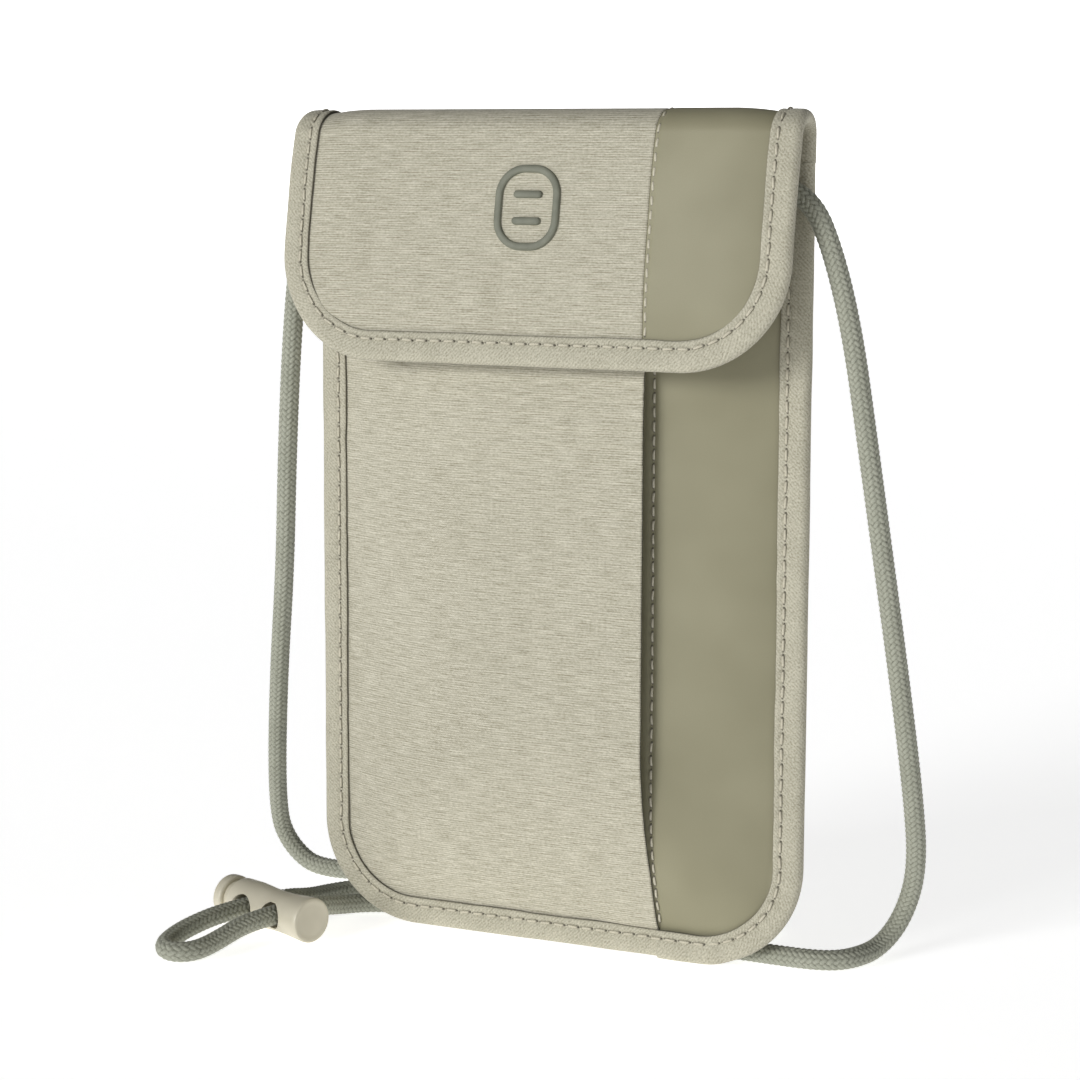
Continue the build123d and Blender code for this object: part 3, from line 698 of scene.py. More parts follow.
def body_panel(name, surface, thickness, right=FAR * 2, left=-FAR * 2, top=MOUTH_Z, inset=UNDER_TAPE,
               size=(150, 110), edge=None):
    """A layer of the front or back as a closed sheet. surface gives its outer y at x, z; thickness may be a
    function of x, and edge rounds off the right-hand edge and marks it for painted shade, the dark gap
    inside the pocket's mouth."""
    z = bottom_rows(inset, top, size[0])
    half = half_width(z, HALF_BODY, 0, inset)
    low, high = np.maximum(-half, left), np.minimum(half, right)
    across = np.linspace(0, 1, size[1])
    if edge:
        across = crowded(across)
    x = low[:, None] + (high - low)[:, None] * across[None, :]
    zz = np.broadcast_to(z[:, None], x.shape)
    front = surface(x, zz)
    back = front + (thickness(x) if callable(thickness) else thickness)
    if edge:
        end = np.clip((x - (high[:, None] - edge)) / edge, 0, 1)
        half_thick = (back - front) / 2
        shrink = half_thick * (1 - np.sqrt(1 - end ** 2))
        front, back = front + shrink, back - shrink
    panel = thick_sheet(name, stacked(x, front, zz), stacked(x, back, zz), stacked(x, zz))
    if edge:
        # painted shade along the rounded right-hand edge, on front and back points
        point_values(panel, "painted_shade", np.stack([end > 0.9, end > 0.2]))
    return panel


def pocket_surface(x, z):
    """The pocket with its small unevenness: soft waves and cross pulls near the top."""
    free = ease((z - 8) / 20) * ease((x + HALF_BODY - TAPE_WIDTH) / 12)
    waves = 0.16 * soft_noise(x, z * 2.2, 26, 3) + 0.07 * soft_noise(x, z * 3, 9, 4)
    ripple = np.sin(z * 1.55 + soft_noise(x, z, 14, 5) * 2)
    pulls = 0.10 * ripple * ease((z - 96) / 40) * ease((x + 60) / 60)
    return pocket_y(x, z) + free * (waves + pulls)


HEM_WIDTH = 8.0
HEM_THICKNESS = 0.5
STITCH_DENT = 0.28


def pocket_thickness(x):
    """One cloth, doubled at the hem of the free edge."""
    return SHELL + HEM_THICKNESS * ease((x - (POCKET_EDGE_X - HEM_WIDTH)) / 1.2)


def strip_surface(x, z):
    """The coated strip: smooth, with the stitched line drawn in a little."""
    stitched = STITCH_DENT * np.exp(-((x - STRIP_STITCH_X) / 0.9) ** 2)
    calm = ease((HALF_BODY - TAPE_WIDTH - x) / 10)
    return shell_y(x, z) + stitched + 0.10 * soft_noise(x, z, 34, 8) * calm


BACK_REACH = 7.0


def back_surface(x, z):
    """The back: nearly flat, rounded off to the binding."""
    sides = lack(x + HALF_BODY, BACK_REACH), lack(HALF_BODY - x, BACK_REACH)
    share = joined(2.2, *sides, lack(z, BACK_REACH))
    calm = ease((HALF_BODY - np.abs(x) - TAPE_WIDTH) / 15) * ease((z - TAPE_WIDTH) / 15)
    waves = 0.12 * calm * (1 + soft_noise(x, z, 30, 9))
    return GROOVE_BACK_Y + (BACK_Y - GROOVE_BACK_Y) * share - waves


BODY_TOP = 195.7
FOAM_INSET = TAPE_WIDTH + 2.0
TUCK_X = SEAM_X - STRIP_TUCK


def behind(surface, depth):
    """The same surface, moved back."""
    return lambda x, z: surface(x, z) + depth


def shell_layer(depth, meet_y):
    """A layer behind the shell, which meets the others at meet_y in the seam."""
    return lambda x, z: np.minimum(shell_y(x, z) + depth, meet_y)


def level(value):
    """A layer at one depth, or at one radius of the fold."""
    return lambda x, z: value + 0 * x


FOAM_MEET_Y = 8.0
LINING_MEET_Y = 8.05
BACK_FOAM_Y = BACK_Y - SHELL - PADDING - 0.14
BACK_LINING_Y = BACK_Y - SHELL - PADDING - LINING - 0.16
CLOTH = SHELL - 0.04       # a little thinner, so that two layers never share a face


def body_layer(name, slot, node, surface, thickness, **shape):
    """A panel of the body with its material, the CAD node it stands for, and its body."""
    return dress(body_panel(name, surface, thickness, **shape), slot, node, body="pouch")


pocket = body_layer(
    "pocket_panel", "woven_fabric", "front_pocket_panel", pocket_surface, pocket_thickness,
    right=POCKET_EDGE_X, edge=0.45, size=(300, 170),
)
pocket_back = body_layer(
    "pocket_back_sheet", "woven_fabric", "pocket_back_panel", behind(shell_y, 0.02), CLOTH, right=TUCK_X,
)
strip = body_layer(
    "coated_strip", "coated_fabric", "coated_side_panel", strip_surface, CLOTH, left=TUCK_X, size=(220, 90),
)
front_foam = body_layer(
    "front_foam", "foam", "front_padding", shell_layer(SHELL, FOAM_MEET_Y), PADDING, inset=FOAM_INSET,
)
front_lining = body_layer(
    "front_lining_sheet", "lining", "front_lining", shell_layer(SHELL + PADDING, LINING_MEET_Y), LINING,
)
back_panel = body_layer(
    "back_sheet", "woven_fabric", "back_panel", behind(back_surface, -SHELL), SHELL,
    top=BODY_TOP, size=(200, 120),
)
back_foam = body_layer(
    "back_foam", "foam", "back_padding", level(BACK_FOAM_Y), PADDING - 0.3, top=BODY_TOP, inset=FOAM_INSET,
)
back_lining = body_layer(
    "back_lining_sheet", "lining", "back_lining", level(BACK_LINING_Y), LINING, top=BODY_TOP,
)


# ---- binding tape and stitches ----
def bound_path(half, top, bottom, spacing, margin=0.0):
    """Stations along the stitched line of a bound edge: down the left, round the bottom, up the right.
    Gives positions, directions inwards, and the distance along."""
    radius = CORNER_RADIUS - STITCH_INSET
    side, corner, corner_z = half - STITCH_INSET, half - CORNER_RADIUS, bottom + CORNER_RADIUS
    straight, quarter, flat = top - corner_z, radius * pi / 2, 2 * corner
    total = 2 * straight + 2 * quarter + flat
    s = np.linspace(margin, total - margin, int(round((total - 2 * margin) / spacing)) + 1)
    ends = np.cumsum([straight, quarter, flat, quarter])
    t1, t2 = (s - ends[0]) / radius, (s - ends[2]) / radius
    zero, one = np.zeros_like(s), np.ones_like(s)
    position = [
        (-side * one, top - s),
        (-corner - radius * np.cos(t1), corner_z - radius * np.sin(t1)),
        (-corner + s - ends[1], (bottom + STITCH_INSET) * one),
        (corner + radius * np.sin(t2), corner_z - radius * np.cos(t2)),
        (side * one, corner_z + s - ends[3]),
    ]
    inward = [
        (one, zero), (np.cos(t1), np.sin(t1)), (zero, one), (-np.sin(t2), np.cos(t2)), (-one, zero),
    ]
    part = np.searchsorted(ends, s)

    def pick(options):
        return np.stack([np.choose(part, [o[k] for o in options]) for k in (0, 1)], -1)

    return pick(position), pick(inward), s


def body_place(x, w, h):
    """A point of the body's edge: h is the distance in front of the middle of the edge."""
    return stacked(x, (TAPE_FRONT_Y + BACK_Y) / 2 - h, w)


ARC_RADIUS = FOLD_RADIUS - TAPE_THICKNESS
FRONT_ANGLE = pi - FLAP_SLOPE
ARC_LENGTH = FRONT_ANGLE * ARC_RADIUS
FLAP_STAND_OFF = 3.5       # how far the stuffed flap stands forward of its slope
FLAP_CURL = 1.5


def flap_place(x, w, h):
    """A point of the flap: w is the height above the end of the fold, measured along the cloth, so it
    is negative on the front, and h is the radius in the fold."""
    angle = np.clip(FRONT_ANGLE - w / ARC_RADIUS, 0, FRONT_ANGLE)
    down, behind_fold = np.minimum(w, 0), np.maximum(w - ARC_LENGTH, 0)
    forward = FLAP_STAND_OFF * ease((angle - 0.6) / (FRONT_ANGLE - 0.6) * 0.7 - down / 45)
    forward = forward - FLAP_CURL * ease(-(down + 18) / 38)
    y = FOLD_Y + h * np.cos(angle) + down * sin(FLAP_SLOPE) - forward
    z = FOLD_Z + h * np.sin(angle) + down * cos(FLAP_SLOPE) - behind_fold
    return stacked(x, y, z)


FLAP_LOW = (FLAP_BOTTOM_Z - FOLD_Z - ARC_RADIUS * sin(FRONT_ANGLE)) / cos(FLAP_SLOPE)
FLAP_BACK = ARC_LENGTH + FOLD_Z - BODY_TOP + 0.2
FACE_UNDER = ARC_RADIUS - SHELL
FOAM_UNDER = FACE_UNDER - PADDING
LINING_UNDER = FOAM_UNDER - LINING
FLAP_MIDDLE = (FOLD_RADIUS + LINING_UNDER - TAPE_THICKNESS) / 2


def tape_section(thick):
    """The tape folded round an edge: (distance inside the edge, height from the middle), all round."""
    h = thick / 2
    front = [
        (7.3, h - 0.7), (7.34, h - 0.3), (7.15, h - 0.06), (6.75, h + 0.03), (6.2, h), (5.75, h - 0.1),
        (5.3, h - 0.2), (4.85, h - 0.1), (4.3, h + 0.01), (3.6, h + 0.05), (2.9, h + 0.02),
    ]
    turn = np.radians(np.linspace(82, -82, 15))
    edge = [(2.1 * (1 - cos(a)), h * sin(a)) for a in turn]
    back = [(d, -v) for d, v in reversed(front)]
    k = h - TAPE_THICKNESS
    inside = [(7.2, -k), (4.0, -k), (1.9, -k * 0.8), (1.2, 0), (1.9, k * 0.8), (4.0, k), (7.2, k)]
    return np.array(front + edge + back + inside)


LAP_DROP = 0.28
LAP_STEP = 0.5
HOLE_DENT = 0.34
WIDEST = 7.18              # beyond this the section is the tape's inner edge


def bound_tape(name, place, middle, half, top, bottom, thick, seed, lap=None, narrow=0.0):
    """The binding tape of one edge, drawn in at each needle hole, with soft waves, and its inner side wall
    marked for painted shade.
    """
    position, inward, s = bound_path(half, top, bottom, 0.5)
    section = tape_section(thick)
    d, h = section[:, 0][None, :], section[:, 1][None, :]
    at_hole = np.exp(-(((s / BINDING_PITCH) % 1 - 0.5) * BINDING_PITCH / 0.42) ** 2)[:, None]
    near = np.exp(-((d - STITCH_INSET) / 0.55) ** 2) * (np.abs(h) > thick / 2 - 0.4)
    between = (np.cos(2 * pi * s / BINDING_PITCH) * 0.05)[:, None] * np.exp(-((d - 3.4) / 1.6) ** 2)
    wave, fine, outer = (
        soft_noise(s, 0 * s, size, seed + k)[:, None] for k, size in enumerate((13, 4.5, 9))
    )
    dent = np.sign(h) * (HOLE_DENT * at_hole * near - between)
    height = h - dent + 0.07 * wave * np.sign(h) * (d > 1)
    inset = d + (0.14 * wave + 0.09 * fine) * (d > 5.8) + 0.08 * outer * (d < 1.5)
    if lap:
        x0 = position[:, 0] - inward[:, 0] * STITCH_INSET
        on_lap = (inward[:, 1] > 0.5) * (x0 > lap[0]) * (1 - ease((x0 - lap[1]) / 6))
        height = height + on_lap[:, None] * LAP_STEP * (h > 0) * (d < 8)
        beyond = np.where(x0 > lap[0], ease((x0 - lap[1] - 2) / 10) * 0.6, 1)
        rise = 0.1 * np.clip(inward[:, 1], 0, 1) ** 2 * beyond - LAP_DROP * on_lap
        inset = inset + rise[:, None] * np.clip(1 - d / 4.5, 0, 1)
    flat = position[:, None, :] + inward[:, None, :] * (inset - STITCH_INSET)[..., None]
    flat[..., 0] *= 1 - narrow * ease((flat[..., 1] - top + 23) / 18)
    loops = place(flat[..., 0], flat[..., 1], middle + height)
    tape = swept(name, loops, stacked(distances(section)[None, :], s[:, None]))
    # the inner side wall's points, marked for painted shade
    painted_shade_wall = (section[:, 0] > WIDEST) * (np.abs(section[:, 1]) < thick / 2 - 0.1)
    point_values(tape, "painted_shade", np.broadcast_to(painted_shade_wall, loops.shape[:2]))
    return tape


THREAD_RADIUS = 0.25


def stitches(name, centres, tangents, normals, length):
    """Thread lying in stitches: each rises from its needle hole and dips into the next, with its ends marked
    for painted shade.
    """
    along = np.array([-0.5, -0.4, -0.28, -0.1, 0.1, 0.28, 0.4, 0.5]) * length
    lift = np.array([-0.14, 0.03, 0.18, 0.24, 0.24, 0.18, 0.03, -0.14])
    thin = np.array([0.7, 0.9, 1.0, 1.06, 1.06, 1.0, 0.9, 0.7]) * THREAD_RADIUS
    ring = circle(7)
    # painted shade at each stitch's ends, inside the needle holes
    ends = np.array([1, 0.75, 0, 0, 0, 0, 0.75, 1])
    points, faces, uv = [], [], []
    rng = np.random.default_rng(17)
    for centre, tangent, normal in zip(centres, tangents, normals):
        tangent = unit(tangent + np.cross(tangent, normal) * rng.uniform(-0.1, 0.1))
        side = np.cross(tangent, normal)
        start = len(points) * len(ring) * len(along)
        body = (
            centre
            + tangent * along[:, None, None]
            + normal * (lift[:, None, None] + (thin[:, None] * np.sin(ring))[..., None])
            + side * (thin[:, None] * np.cos(ring))[..., None] * 1.15
        )
        points.append(body.reshape(-1, 3))
        faces += ring_faces(len(along), len(ring), start)
        uv.append(stacked(ring[None, :] * THREAD_RADIUS, along[:, None]).reshape(-1, 2))
    row = new_mesh(name, np.concatenate(points), faces, np.concatenate(uv))
    point_values(row, "hole", np.tile(np.repeat(ends, len(ring)), len(centres)))
    return row


def bound_stitches(name, place, middle, half, top, bottom, thick, lap=None):
    """The row of stitches along a bound edge, front side."""
    position, inward, _ = bound_path(half, top, bottom, BINDING_PITCH, margin=BINDING_PITCH)
    step = 0.4
    tangent2 = np.stack([inward[:, 1], -inward[:, 0]], -1)
    height = middle + thick / 2 - 0.08
    if lap:
        on_lap = (inward[:, 1] > 0.5) & (position[:, 0] > lap[0]) & (position[:, 0] < lap[1])
        height = height + LAP_STEP * on_lap

    def at(points, h):
        return place(points[:, 0], points[:, 1], h)

    centres = at(position, height)
    tangents = unit(at(position + tangent2 * step, height) - at(position - tangent2 * step, height))
    normals = unit(at(position, height + step) - at(position, height))
    return stitches(name, centres, tangents, normals, 3.3)


BODY_THICK = BACK_Y - TAPE_FRONT_Y
FLAP_THICK = 2 * (FOLD_RADIUS - FLAP_MIDDLE)
LAP_X = OVERLAP_X + 3.5
LAP = (LAP_X, LAP_X + 2 * TAPE_WIDTH)
BODY_EDGE = (body_place, 0.0, HALF_BODY, BODY_TOP - 0.2, 0.0, BODY_THICK)
FLAP_EDGE = (flap_place, FLAP_MIDDLE, HALF_FLAP, FLAP_BACK, FLAP_LOW, FLAP_THICK)
body_tape = bound_tape("body_tape", *BODY_EDGE, 21, lap=LAP)
dress(body_tape, "binding_tape", "body_binding", body="pouch")
body_stitches = bound_stitches("body_stitches", *BODY_EDGE, lap=LAP)
dress(body_stitches, "thread", "body_binding_stitching", body="pouch")


def strip_stitches():
    """The topstitching beside the pocket's edge."""
    z = np.arange(10.5, 184, SEAM_PITCH)
    step = 0.5

    def at(z, lift=0.0):
        return stacked(STRIP_STITCH_X, strip_surface(STRIP_STITCH_X, z) - lift, z)

    centres = at(z, 0.1)
    tangents = unit(at(z + step) - at(z - step))
    normals = unit(np.cross(tangents, (1.0, 0, 0)) * -1)
    normals *= np.where(normals[:, 1:2] > 0, -1, 1)
    return stitches("strip_stitches", centres, tangents, normals, 2.9)


dress(strip_stitches(), "thread", "pocket_seam_stitching", body="pouch")


# ---- the flap ----
FACE_PUFF = 1.15
BACK_PUFF = TAPE_THICKNESS
SEAM_ROLL = 0.55
SEAM_ROLL_DEPTH = 0.45
FLAP_REACH = 12.0


def flap_lift(x, w):
    """How far the flap's face stands above the level at which the tape holds it."""
    sides = lack(x + HALF_FLAP, FLAP_REACH), lack(HALF_FLAP - x, FLAP_REACH)
    held = joined(2.4, *sides, lack(w - FLAP_LOW, FLAP_REACH))
    amount = BACK_PUFF + (FACE_PUFF - BACK_PUFF) * ease((ARC_LENGTH - w) / ARC_LENGTH)
    waves = 0.07 * soft_noise(x, w * 1.8, 22, 31) * ease((4 - w) / 12)
    return (amount + waves) * held


def rolled(inside):
    """How far a rolled edge is below its cloth, at a distance inside the edge."""
    return SEAM_ROLL_DEPTH * (1 - np.sqrt(1 - np.clip(1 - inside / SEAM_ROLL, 0, 1) ** 2))


def flap_layer(name, under, over, low_x=-HALF_FLAP, high_x=HALF_FLAP, size=(210, 110), top=FLAP_BACK):
    """A layer of the flap, rolled where it ends at the seam. under and over give its radii at x, w."""
    w = bottom_rows(FLAP_LOW + UNDER_TAPE, top, size[0])
    half = half_width(w, HALF_FLAP, FLAP_LOW, UNDER_TAPE)
    low, high = np.maximum(-half, low_x), np.minimum(half, high_x)
    across = np.linspace(0, 1, size[1])
    if low_x == FLAP_SEAM_X:
        across = 1 - crowded(1 - across)
    if high_x == FLAP_SEAM_X:
        across = crowded(across)
    x = low[:, None] + (high - low)[:, None] * across[None, :]
    ww = np.broadcast_to(w[:, None], x.shape)
    outer, inner = over(x, ww), under(x, ww)
    if FLAP_SEAM_X in (low_x, high_x):
        outer = outer - rolled(np.abs(FLAP_SEAM_X - x))
    return thick_sheet(name, flap_place(x, ww, outer), flap_place(x, ww, inner), stacked(x, ww))


def face_over(x, w):
    """The woven face's outer radius."""
    return ARC_RADIUS + flap_lift(x, w)


def strip_over(x, w):
    """The coated strip's outer radius, drawn in at its stitches."""
    return ARC_RADIUS + flap_lift(x, w) + 0.08 - 0.22 * np.exp(-((x - FLAP_STITCH_X) / 0.8) ** 2)


def face_under(x, w):
    """The underside of the flap's face."""
    return FACE_UNDER + flap_lift(x, w)


def foam_over(x, w):
    """The foam just fills the space under the face."""
    return face_under(x, w) - 0.02


FLAP_FOAM_TOP = -1.0       # the foam ends just below the fold
flap_woven = flap_layer("flap_woven_face", face_under, face_over, high_x=FLAP_SEAM_X)
dress(flap_woven, "woven_fabric", "flap_woven_panel")
flap_coated = flap_layer("flap_coated_face", face_under, strip_over, low_x=FLAP_SEAM_X, size=(210, 70))
dress(flap_coated, "coated_fabric", "flap_coated_strip")
flap_foam = flap_layer("flap_foam", level(FOAM_UNDER + 0.01), foam_over, size=(120, 70), top=FLAP_FOAM_TOP)
dress(flap_foam, "foam", "flap_padding")
flap_lining = flap_layer("flap_lining_sheet", level(LINING_UNDER), level(FOAM_UNDER), size=(140, 70))
dress(flap_lining, "lining", "flap_lining")
flap_tape = bound_tape("flap_tape", *FLAP_EDGE, 41, narrow=1 - HALF_BODY / HALF_FLAP)
dress(flap_tape, "binding_tape", "flap_binding")
flap_row = bound_stitches("flap_stitches", *FLAP_EDGE)
dress(flap_row, "thread", "flap_binding_stitching")


def flap_seam_row():
    """The topstitching on the flap's coated strip."""
    w = np.arange(FLAP_LOW + TAPE_WIDTH + 2, ARC_LENGTH, SEAM_PITCH)
    x = np.full_like(w, FLAP_STITCH_X)
    radius = strip_over(x, w) - 0.17
    step = 0.4
    centres = flap_place(x, w, radius)
    tangents = unit(flap_place(x, w + step, radius) - flap_place(x, w - step, radius))
    normals = unit(flap_place(x, w, radius + step) - centres)
    return stitches("flap_seam_stitches", centres, tangents, normals, 2.7)


flap_seam = dress(flap_seam_row(), "thread", "flap_seam_stitching")
for piece in (flap_woven, flap_coated, flap_foam, flap_lining, flap_tape, flap_row, flap_seam):
    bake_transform(piece)


# ---- badge ----
BADGE_WIDTH = 17.0
BADGE_HEIGHT = 20.5
BADGE_LINE = 1.8
BADGE_THICKNESS = 0.8
BADGE_ROUNDNESS = 0.84
BADGE_Z = 183.5
BADGE_BARS = (-3.2, 3.2)
BADGE_BAR_LENGTH = 7.5
BADGE_W = (BADGE_Z - FOLD_Z) / cos(FLAP_SLOPE)


def badge_point(u, v, h):
    """A point of the badge on the flap's face."""
    w = BADGE_W + v
    return flap_place(u, w, face_over(u, w) + h)


def badge_ridge(path, closed):
    """A moulded ridge with rounded shoulders along a flat path of (u, v)."""
    nxt = np.roll(path, -1, axis=0) if closed else np.concatenate([path[1:], path[-1:]])
    prv = np.roll(path, 1, axis=0) if closed else np.concatenate([path[:1], path[:-1]])
    tangent = unit(nxt - prv)
    side = np.stack([-tangent[:, 1], tangent[:, 0]], -1)
    half = BADGE_LINE / 2
    shoulder = [(half + 0.08, -0.12), (half, 0.3), (half - 0.08, 0.62), (half - 0.28, BADGE_THICKNESS)]
    section = [(-u, h) for u, h in shoulder] + [(0, BADGE_THICKNESS + 0.04)] + shoulder[::-1]
    section = np.array(section)
    scale = np.ones(len(path))
    if not closed:
        run = np.linalg.norm(path - path[0], axis=1)
        nearest = np.minimum(run, run[-1] - run)
        scale = np.sqrt(np.clip(1 - (1 - np.clip(nearest / half, 0, 1)) ** 2, 0.02, 1))
    flat = path[:, None, :] + side[:, None, :] * (section[None, :, 0] * scale[:, None])[..., None]
    height = section[None, :, 1] * (0.4 + 0.6 * scale[:, None]) * np.ones((len(path), 1))
    return badge_point(flat[..., 0], flat[..., 1], height)


def make_badge():
    """A plain moulded badge: an upright rounded ring with two short bars."""
    half_w, half_h = (BADGE_WIDTH - BADGE_LINE) / 2, (BADGE_HEIGHT - BADGE_LINE) / 2
    corner = half_w * BADGE_ROUNDNESS
    ring = []
    for cx, cy, start in ((1, 1, 0), (-1, 1, 90), (-1, -1, 180), (1, -1, 270)):
        x0, y0 = cx * (half_w - corner), cy * (half_h - corner)
        for a in np.radians(np.linspace(start, start + 90, 14)):
            ring.append((x0 + corner * cos(a), y0 + corner * sin(a)))
    parts = [(badge_ridge(np.array(ring), True), True)]
    for v in BADGE_BARS:
        u = -np.cos(np.linspace(0, pi, 25)) * BADGE_BAR_LENGTH / 2
        parts.append((badge_ridge(stacked(u, v), False), False))
    points, faces, count = [], [], 0
    for loops, closed in parts:
        stations, size = loops.shape[:2]
        if closed:
            faces += grid_faces(stations, size, count, flip=True, close_rows=True, close_columns=True)
        else:
            faces += ring_faces(stations, size, count, flip=True)
        points.append(loops.reshape(-1, 3))
        count += stations * size
    points = np.concatenate(points)
    return new_mesh("badge", points, faces, points[:, [0, 2]], smooth_angle=60)


dress(make_badge(), "badge_rubber", "flap_badge", body="flap")


# ---- closure patches ----
PATCH_HALF = 16.0
PATCH_Z = (156.5, 165.5)
PATCH_THICKNESS = 0.35


def patch_grid():
    """Points across a patch."""
    return np.meshgrid(np.linspace(-PATCH_HALF, PATCH_HALF, 60), np.linspace(*PATCH_Z, 22))


def loop_patch():
    """The soft half of the closure, on the pocket."""
    x, z = patch_grid()
    y = pocket_surface(x, z)
    front = stacked(x, y - PATCH_THICKNESS - 0.05 * soft_noise(x * 6, z * 6, 4, 51), z)
    return thick_sheet("loop_patch", front, stacked(x, y + 0.02, z), stacked(x, z))


def hook_patch():
    """The hooked half of the closure, under the flap."""
    x, z = patch_grid()
    w = (z - FOLD_Z) / cos(FLAP_SLOPE)
    outer = flap_place(x, w, LINING_UNDER - 0.01)
    return thick_sheet("hook_patch", outer, flap_place(x, w, LINING_UNDER - PATCH_THICKNESS), stacked(x, z))


dress(loop_patch(), "closure_tape", "front_loop_patch", body="pouch")
dress(hook_patch(), "closure_tape", "flap_hook_patch", body="flap")


# ---- anchors and hank tie ----
def strap(name, path, low_x, high_x, thick):
    """A flat strap along a path of (y, z), as wide as low_x to high_x."""
    line, s = evenly(np.array([(0, y, z) for y, z in path], float), 0.5)
    tangent = unit(np.gradient(line, axis=0))
    normal = np.cross(tangent, (1.0, 0, 0))
    width = high_x - low_x
    upper = [(0, 0.3), (0.04, 0.5), (0.96, 0.5), (1, 0.3)]
    loops = np.stack([
        line + np.array([low_x + width * a, 0, 0]) + normal * thick * b
        for a, b in upper + [(a, -b) for a, b in upper[::-1]]
    ], axis=1)
    around = [0, 0.3, width, width + 0.3, width + 1, width + 1.3, 2 * width + 1.3, 2 * width + 1.6]
    return swept(name, loops, stacked(np.array(around)[None, :], s[:, None]))


ANCHOR_X = (44.0, 51.0)
ANCHOR_CENTRE = (4.6, 191.2)
ANCHOR_RADIUS = 2.85
ANCHOR_THICKNESS = 0.45
TIE_HALF = 5.0
TIE_THICKNESS = 0.75


def anchor_path():
    """A tape folded round the cord's end, with both tails against the back's lining."""
    y0, z0 = ANCHOR_CENTRE
    turn = np.radians(np.linspace(-40, -320, 30))
    path = [(7.35, 178.3), (7.35, 186.0)]
    path += [(y0 + ANCHOR_RADIUS * cos(a), z0 + ANCHOR_RADIUS * sin(a)) for a in turn]
    return path + [(7.9, 189.0), (7.95, 184.0), (7.95, 178.3)]


for side, word in ((1, "right"), (-1, "left")):
    low_x, high_x = sorted((side * ANCHOR_X[0], side * ANCHOR_X[1]))
    anchor = strap(f"anchor_{word}", anchor_path(), low_x, high_x, ANCHOR_THICKNESS)
    dress(anchor, "binding_tape", f"cord_anchor_{word}", body="pouch")


def tie_path():
    """The strap round the hank, with its free end lying on top."""
    low_y, high_y, low_z, high_z, corner = 24.0, 50.0, 0.4, 11.2, 4.5
    path = [(30.0, high_z)]
    centres_y, centres_z = (high_y - corner, low_y + corner), (high_z - corner, low_z + corner)
    for far_y, far_z, start in ((0, 0, 90), (0, 1, 0), (1, 1, -90), (1, 0, -180)):
        cy, cz = centres_y[far_y], centres_z[far_z]
        for a in np.radians(np.linspace(start, start - 90, 9)):
            path.append((cy + corner * cos(a), cz + corner * sin(a)))
    path += [(29.0, high_z + 0.35), (33.0, high_z + 0.85), (44.0, high_z + 0.85)]
    return path


tie = strap("hank_strap", tie_path(), -TIE_HALF, TIE_HALF, TIE_THICKNESS)
dress(tie, "binding_tape", "hank_tie", body="pouch")


# ---- cord lock ----
LOCK_RADIUS = 5.75
LOCK_LENGTH = 28.0
LOCK_END = (-54.7, -19.5)
LOCK_TURN = radians(160.0)
LOCK_HOLES = (10.8, 21.8)
BORE_RADIUS = 4.62
LOCK_WALL = 3.0
LOCK_WAIST = 0.6
LOCK_SMOOTH_ANGLE = 35.0


def lock_place(points):
    """From the lock's own frame, its axis along Z from the closed end, to the row frame."""
    points = np.asarray(points, float)
    axis = np.array([cos(LOCK_TURN), sin(LOCK_TURN), 0])
    up = np.array([0, 0, 1.0])
    across = np.cross(axis, up)
    origin = np.array([LOCK_END[0], LOCK_END[1], LOCK_RADIUS])
    return origin + points[..., 0:1] * up + points[..., 1:2] * across + points[..., 2:3] * axis


def turned(profile, count):
    """Rings round the Z axis from (radius, distance along the axis) pairs."""
    radius, z = np.array(profile, float).T[..., None]
    return stacked(radius * np.cos(circle(count)), radius * np.sin(circle(count)), z)


def lock_solid(name, local, smooth_angle):
    """A closed solid from rings in the lock's own frame."""
    return outward(swept(name, lock_place(local), None, smooth_angle=smooth_angle))


def barrel_profile():
    """The barrel's half section: a flat disc end with a soft rim, a slight waist, and the bore."""
    outer = [
        (0.02, 0.12), (3.6, 0.12), (4.5, 0.1), (4.75, 0.02), (5.15, 0.0), (5.5, 0.12), (5.7, 0.42),
        (LOCK_RADIUS, 0.9),
    ]
    for t in np.linspace(0, 1, 40)[1:]:
        waist = LOCK_WAIST * sin(pi * min(t * 1.25, 1.0)) ** 1.2
        outer.append((LOCK_RADIUS - waist, 0.9 + t * (LOCK_LENGTH - 1.6)))
    outer += [(5.62, LOCK_LENGTH - 0.3), (5.35, LOCK_LENGTH)]
    outer += [(BORE_RADIUS + 0.15, LOCK_LENGTH), (BORE_RADIUS, LOCK_LENGTH - 0.2)]
    outer += [(BORE_RADIUS, z) for z in np.linspace(LOCK_LENGTH - 0.5, LOCK_WALL + 0.3, 30)]
    return outer + [(BORE_RADIUS - 0.3, LOCK_WALL), (0.02, LOCK_WALL)]


def outward(obj):
    """Turns every face of a closed mesh outwards."""
    work = bmesh.new()
    work.from_mesh(obj.data)
    bmesh.ops.recalc_face_normals(work, faces=work.faces)
    work.to_mesh(obj.data)
    work.free()
    return obj


def cut(target, tools):
    """Cuts the tools out of a mesh and removes them."""
    for tool in tools:
        modifier = target.modifiers.new("cut", "BOOLEAN")
        modifier.operation = "DIFFERENCE"
        modifier.solver = "EXACT"
        modifier.object = tool
    bpy.context.view_layer.update()
    evaluated = target.evaluated_get(bpy.context.evaluated_depsgraph_get())
    mesh = bpy.data.meshes.new_from_object(evaluated)
    target.modifiers.clear()
    old = target.data
    target.data = mesh
    bpy.data.meshes.remove(old)
    for tool in tools:
        bpy.data.objects.remove(tool)
    mesh.polygons.foreach_set("use_smooth", [True] * len(mesh.polygons))
    mesh.set_sharp_from_angle(angle=radians(LOCK_SMOOTH_ANGLE))
    return target


def hole_tool(distance):
    """A flared cutter across the barrel."""
    half = [(4.05, 8.0), (4.05, 5.9), (3.75, 5.45), (3.52, 5.0), (3.45, 4.6)]
    x, z, y = np.moveaxis(turned([(r, -y) for r, y in half] + half[::-1], 48), -1, 0)
    return lock_solid("hole_tool", stacked(x, y, distance + z), None)


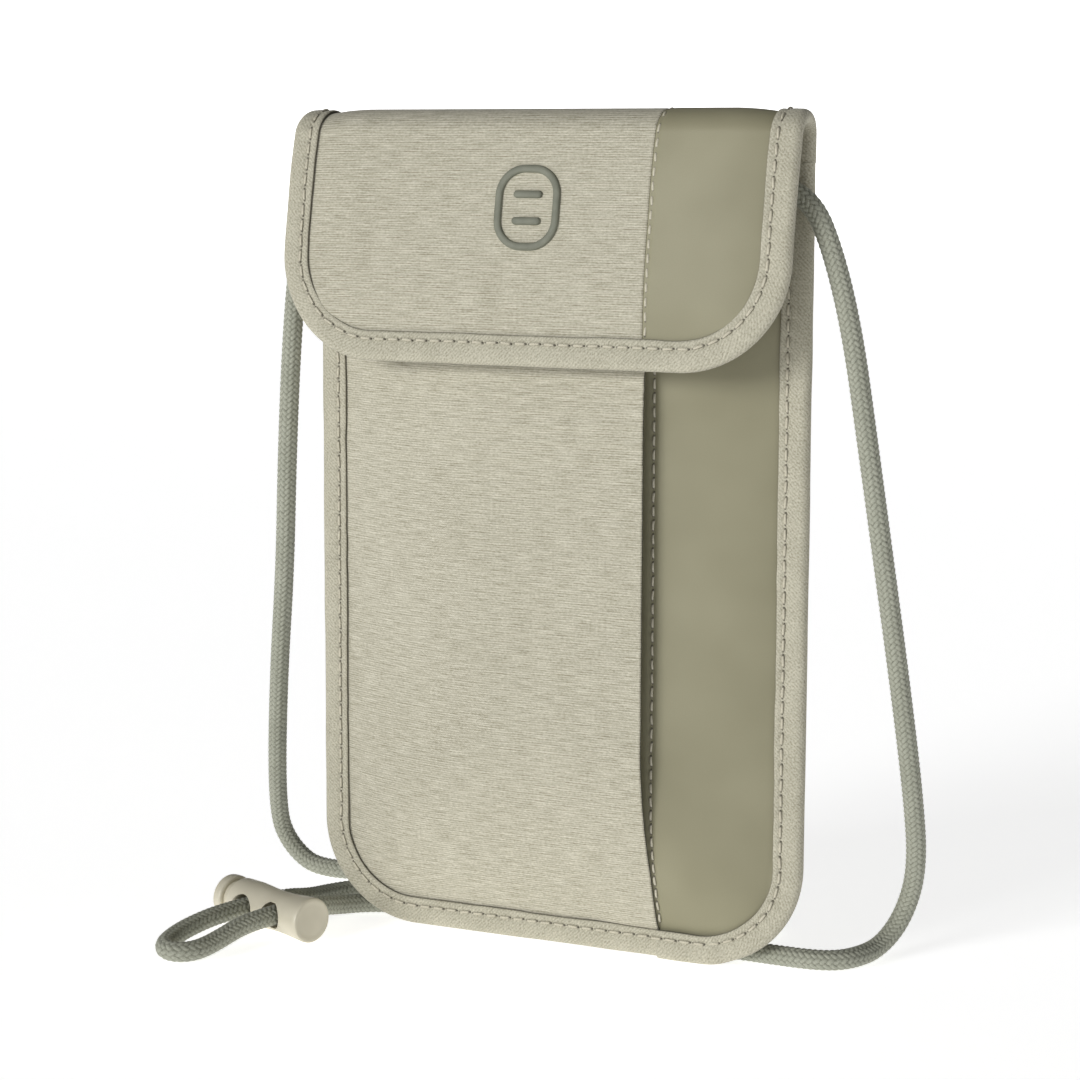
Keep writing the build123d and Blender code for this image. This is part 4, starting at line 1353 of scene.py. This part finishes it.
barrel = lock_solid("lock_barrel", turned(barrel_profile(), 96), LOCK_SMOOTH_ANGLE)
barrel = cut(barrel, [hole_tool(distance) for distance in LOCK_HOLES])
dress(barrel, "lock_plastic", "cord_lock_barrel", body="cord_lock")

for node, slot in (("cord_lock_plunger", "lock_plastic"), ("cord_lock_spring", "spring_steel")):
    dress(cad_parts[node], slot)


# ---- stage ----
STAGE_RADIUS = 5000.0
STAGE_BEND = 500.0
STAGE_HEIGHT = 700.0
STAGE_GLOW = 0.74
STAGE_DROP = 0.3
STAGE_SIDES = 96


def add_stage():
    """A plain white floor that curves up to a wall all round."""
    look = Look("stage")
    cloud = look.noise(look.place(), 0.004, 2.0)
    pale = look.mix(cloud, (0.86, 0.86, 0.86, 1), (0.88, 0.88, 0.88, 1))
    look.set(Base_Color=pale, Roughness=0.95, Emission_Color=(1, 1, 1, 1), Emission_Strength=STAGE_GLOW)
    bend = np.radians(np.linspace(0, 90, 13))
    profile = [(r, 0) for r in (1.0, 300, 900, 1800)]
    profile += [(STAGE_RADIUS + STAGE_BEND * sin(a), STAGE_BEND * (1 - cos(a))) for a in bend]
    profile += [(STAGE_RADIUS + STAGE_BEND, STAGE_HEIGHT)]
    rings = turned([(r, z - STAGE_DROP) for r, z in profile], STAGE_SIDES)
    faces = grid_faces(*rings.shape[:2], close_columns=True, flip=True) + [list(range(STAGE_SIDES))]
    stage = new_mesh("stage", rings, faces)
    stage.data.materials.append(look.material)


SUN_AZIMUTH = radians(-24)
SUN_ELEVATION = radians(12)
SUN_STRENGTH = 2.4
SUN_SOFTNESS = radians(24)
WORLD_STRENGTH = 0.12


def add_sun():
    """A broad soft light from the front."""
    data = bpy.data.lights.new("softbox", "SUN")
    data.energy = SUN_STRENGTH
    data.angle = SUN_SOFTNESS
    light = add_object("softbox", data)
    light.rotation_mode = "QUATERNION"
    light.rotation_quaternion = (-seen_from(SUN_AZIMUTH, SUN_ELEVATION)).to_track_quat("-Z", "Y")


add_stage()
add_sun()
world = bpy.data.worlds.new("studio")
bpy.context.scene.world = world
world.use_nodes = True
world.node_tree.nodes["Background"].inputs["Color"].default_value = (1, 1, 1, 1)
world.node_tree.nodes["Background"].inputs["Strength"].default_value = WORLD_STRENGTH
bpy.context.scene.view_settings.view_transform = "Standard"
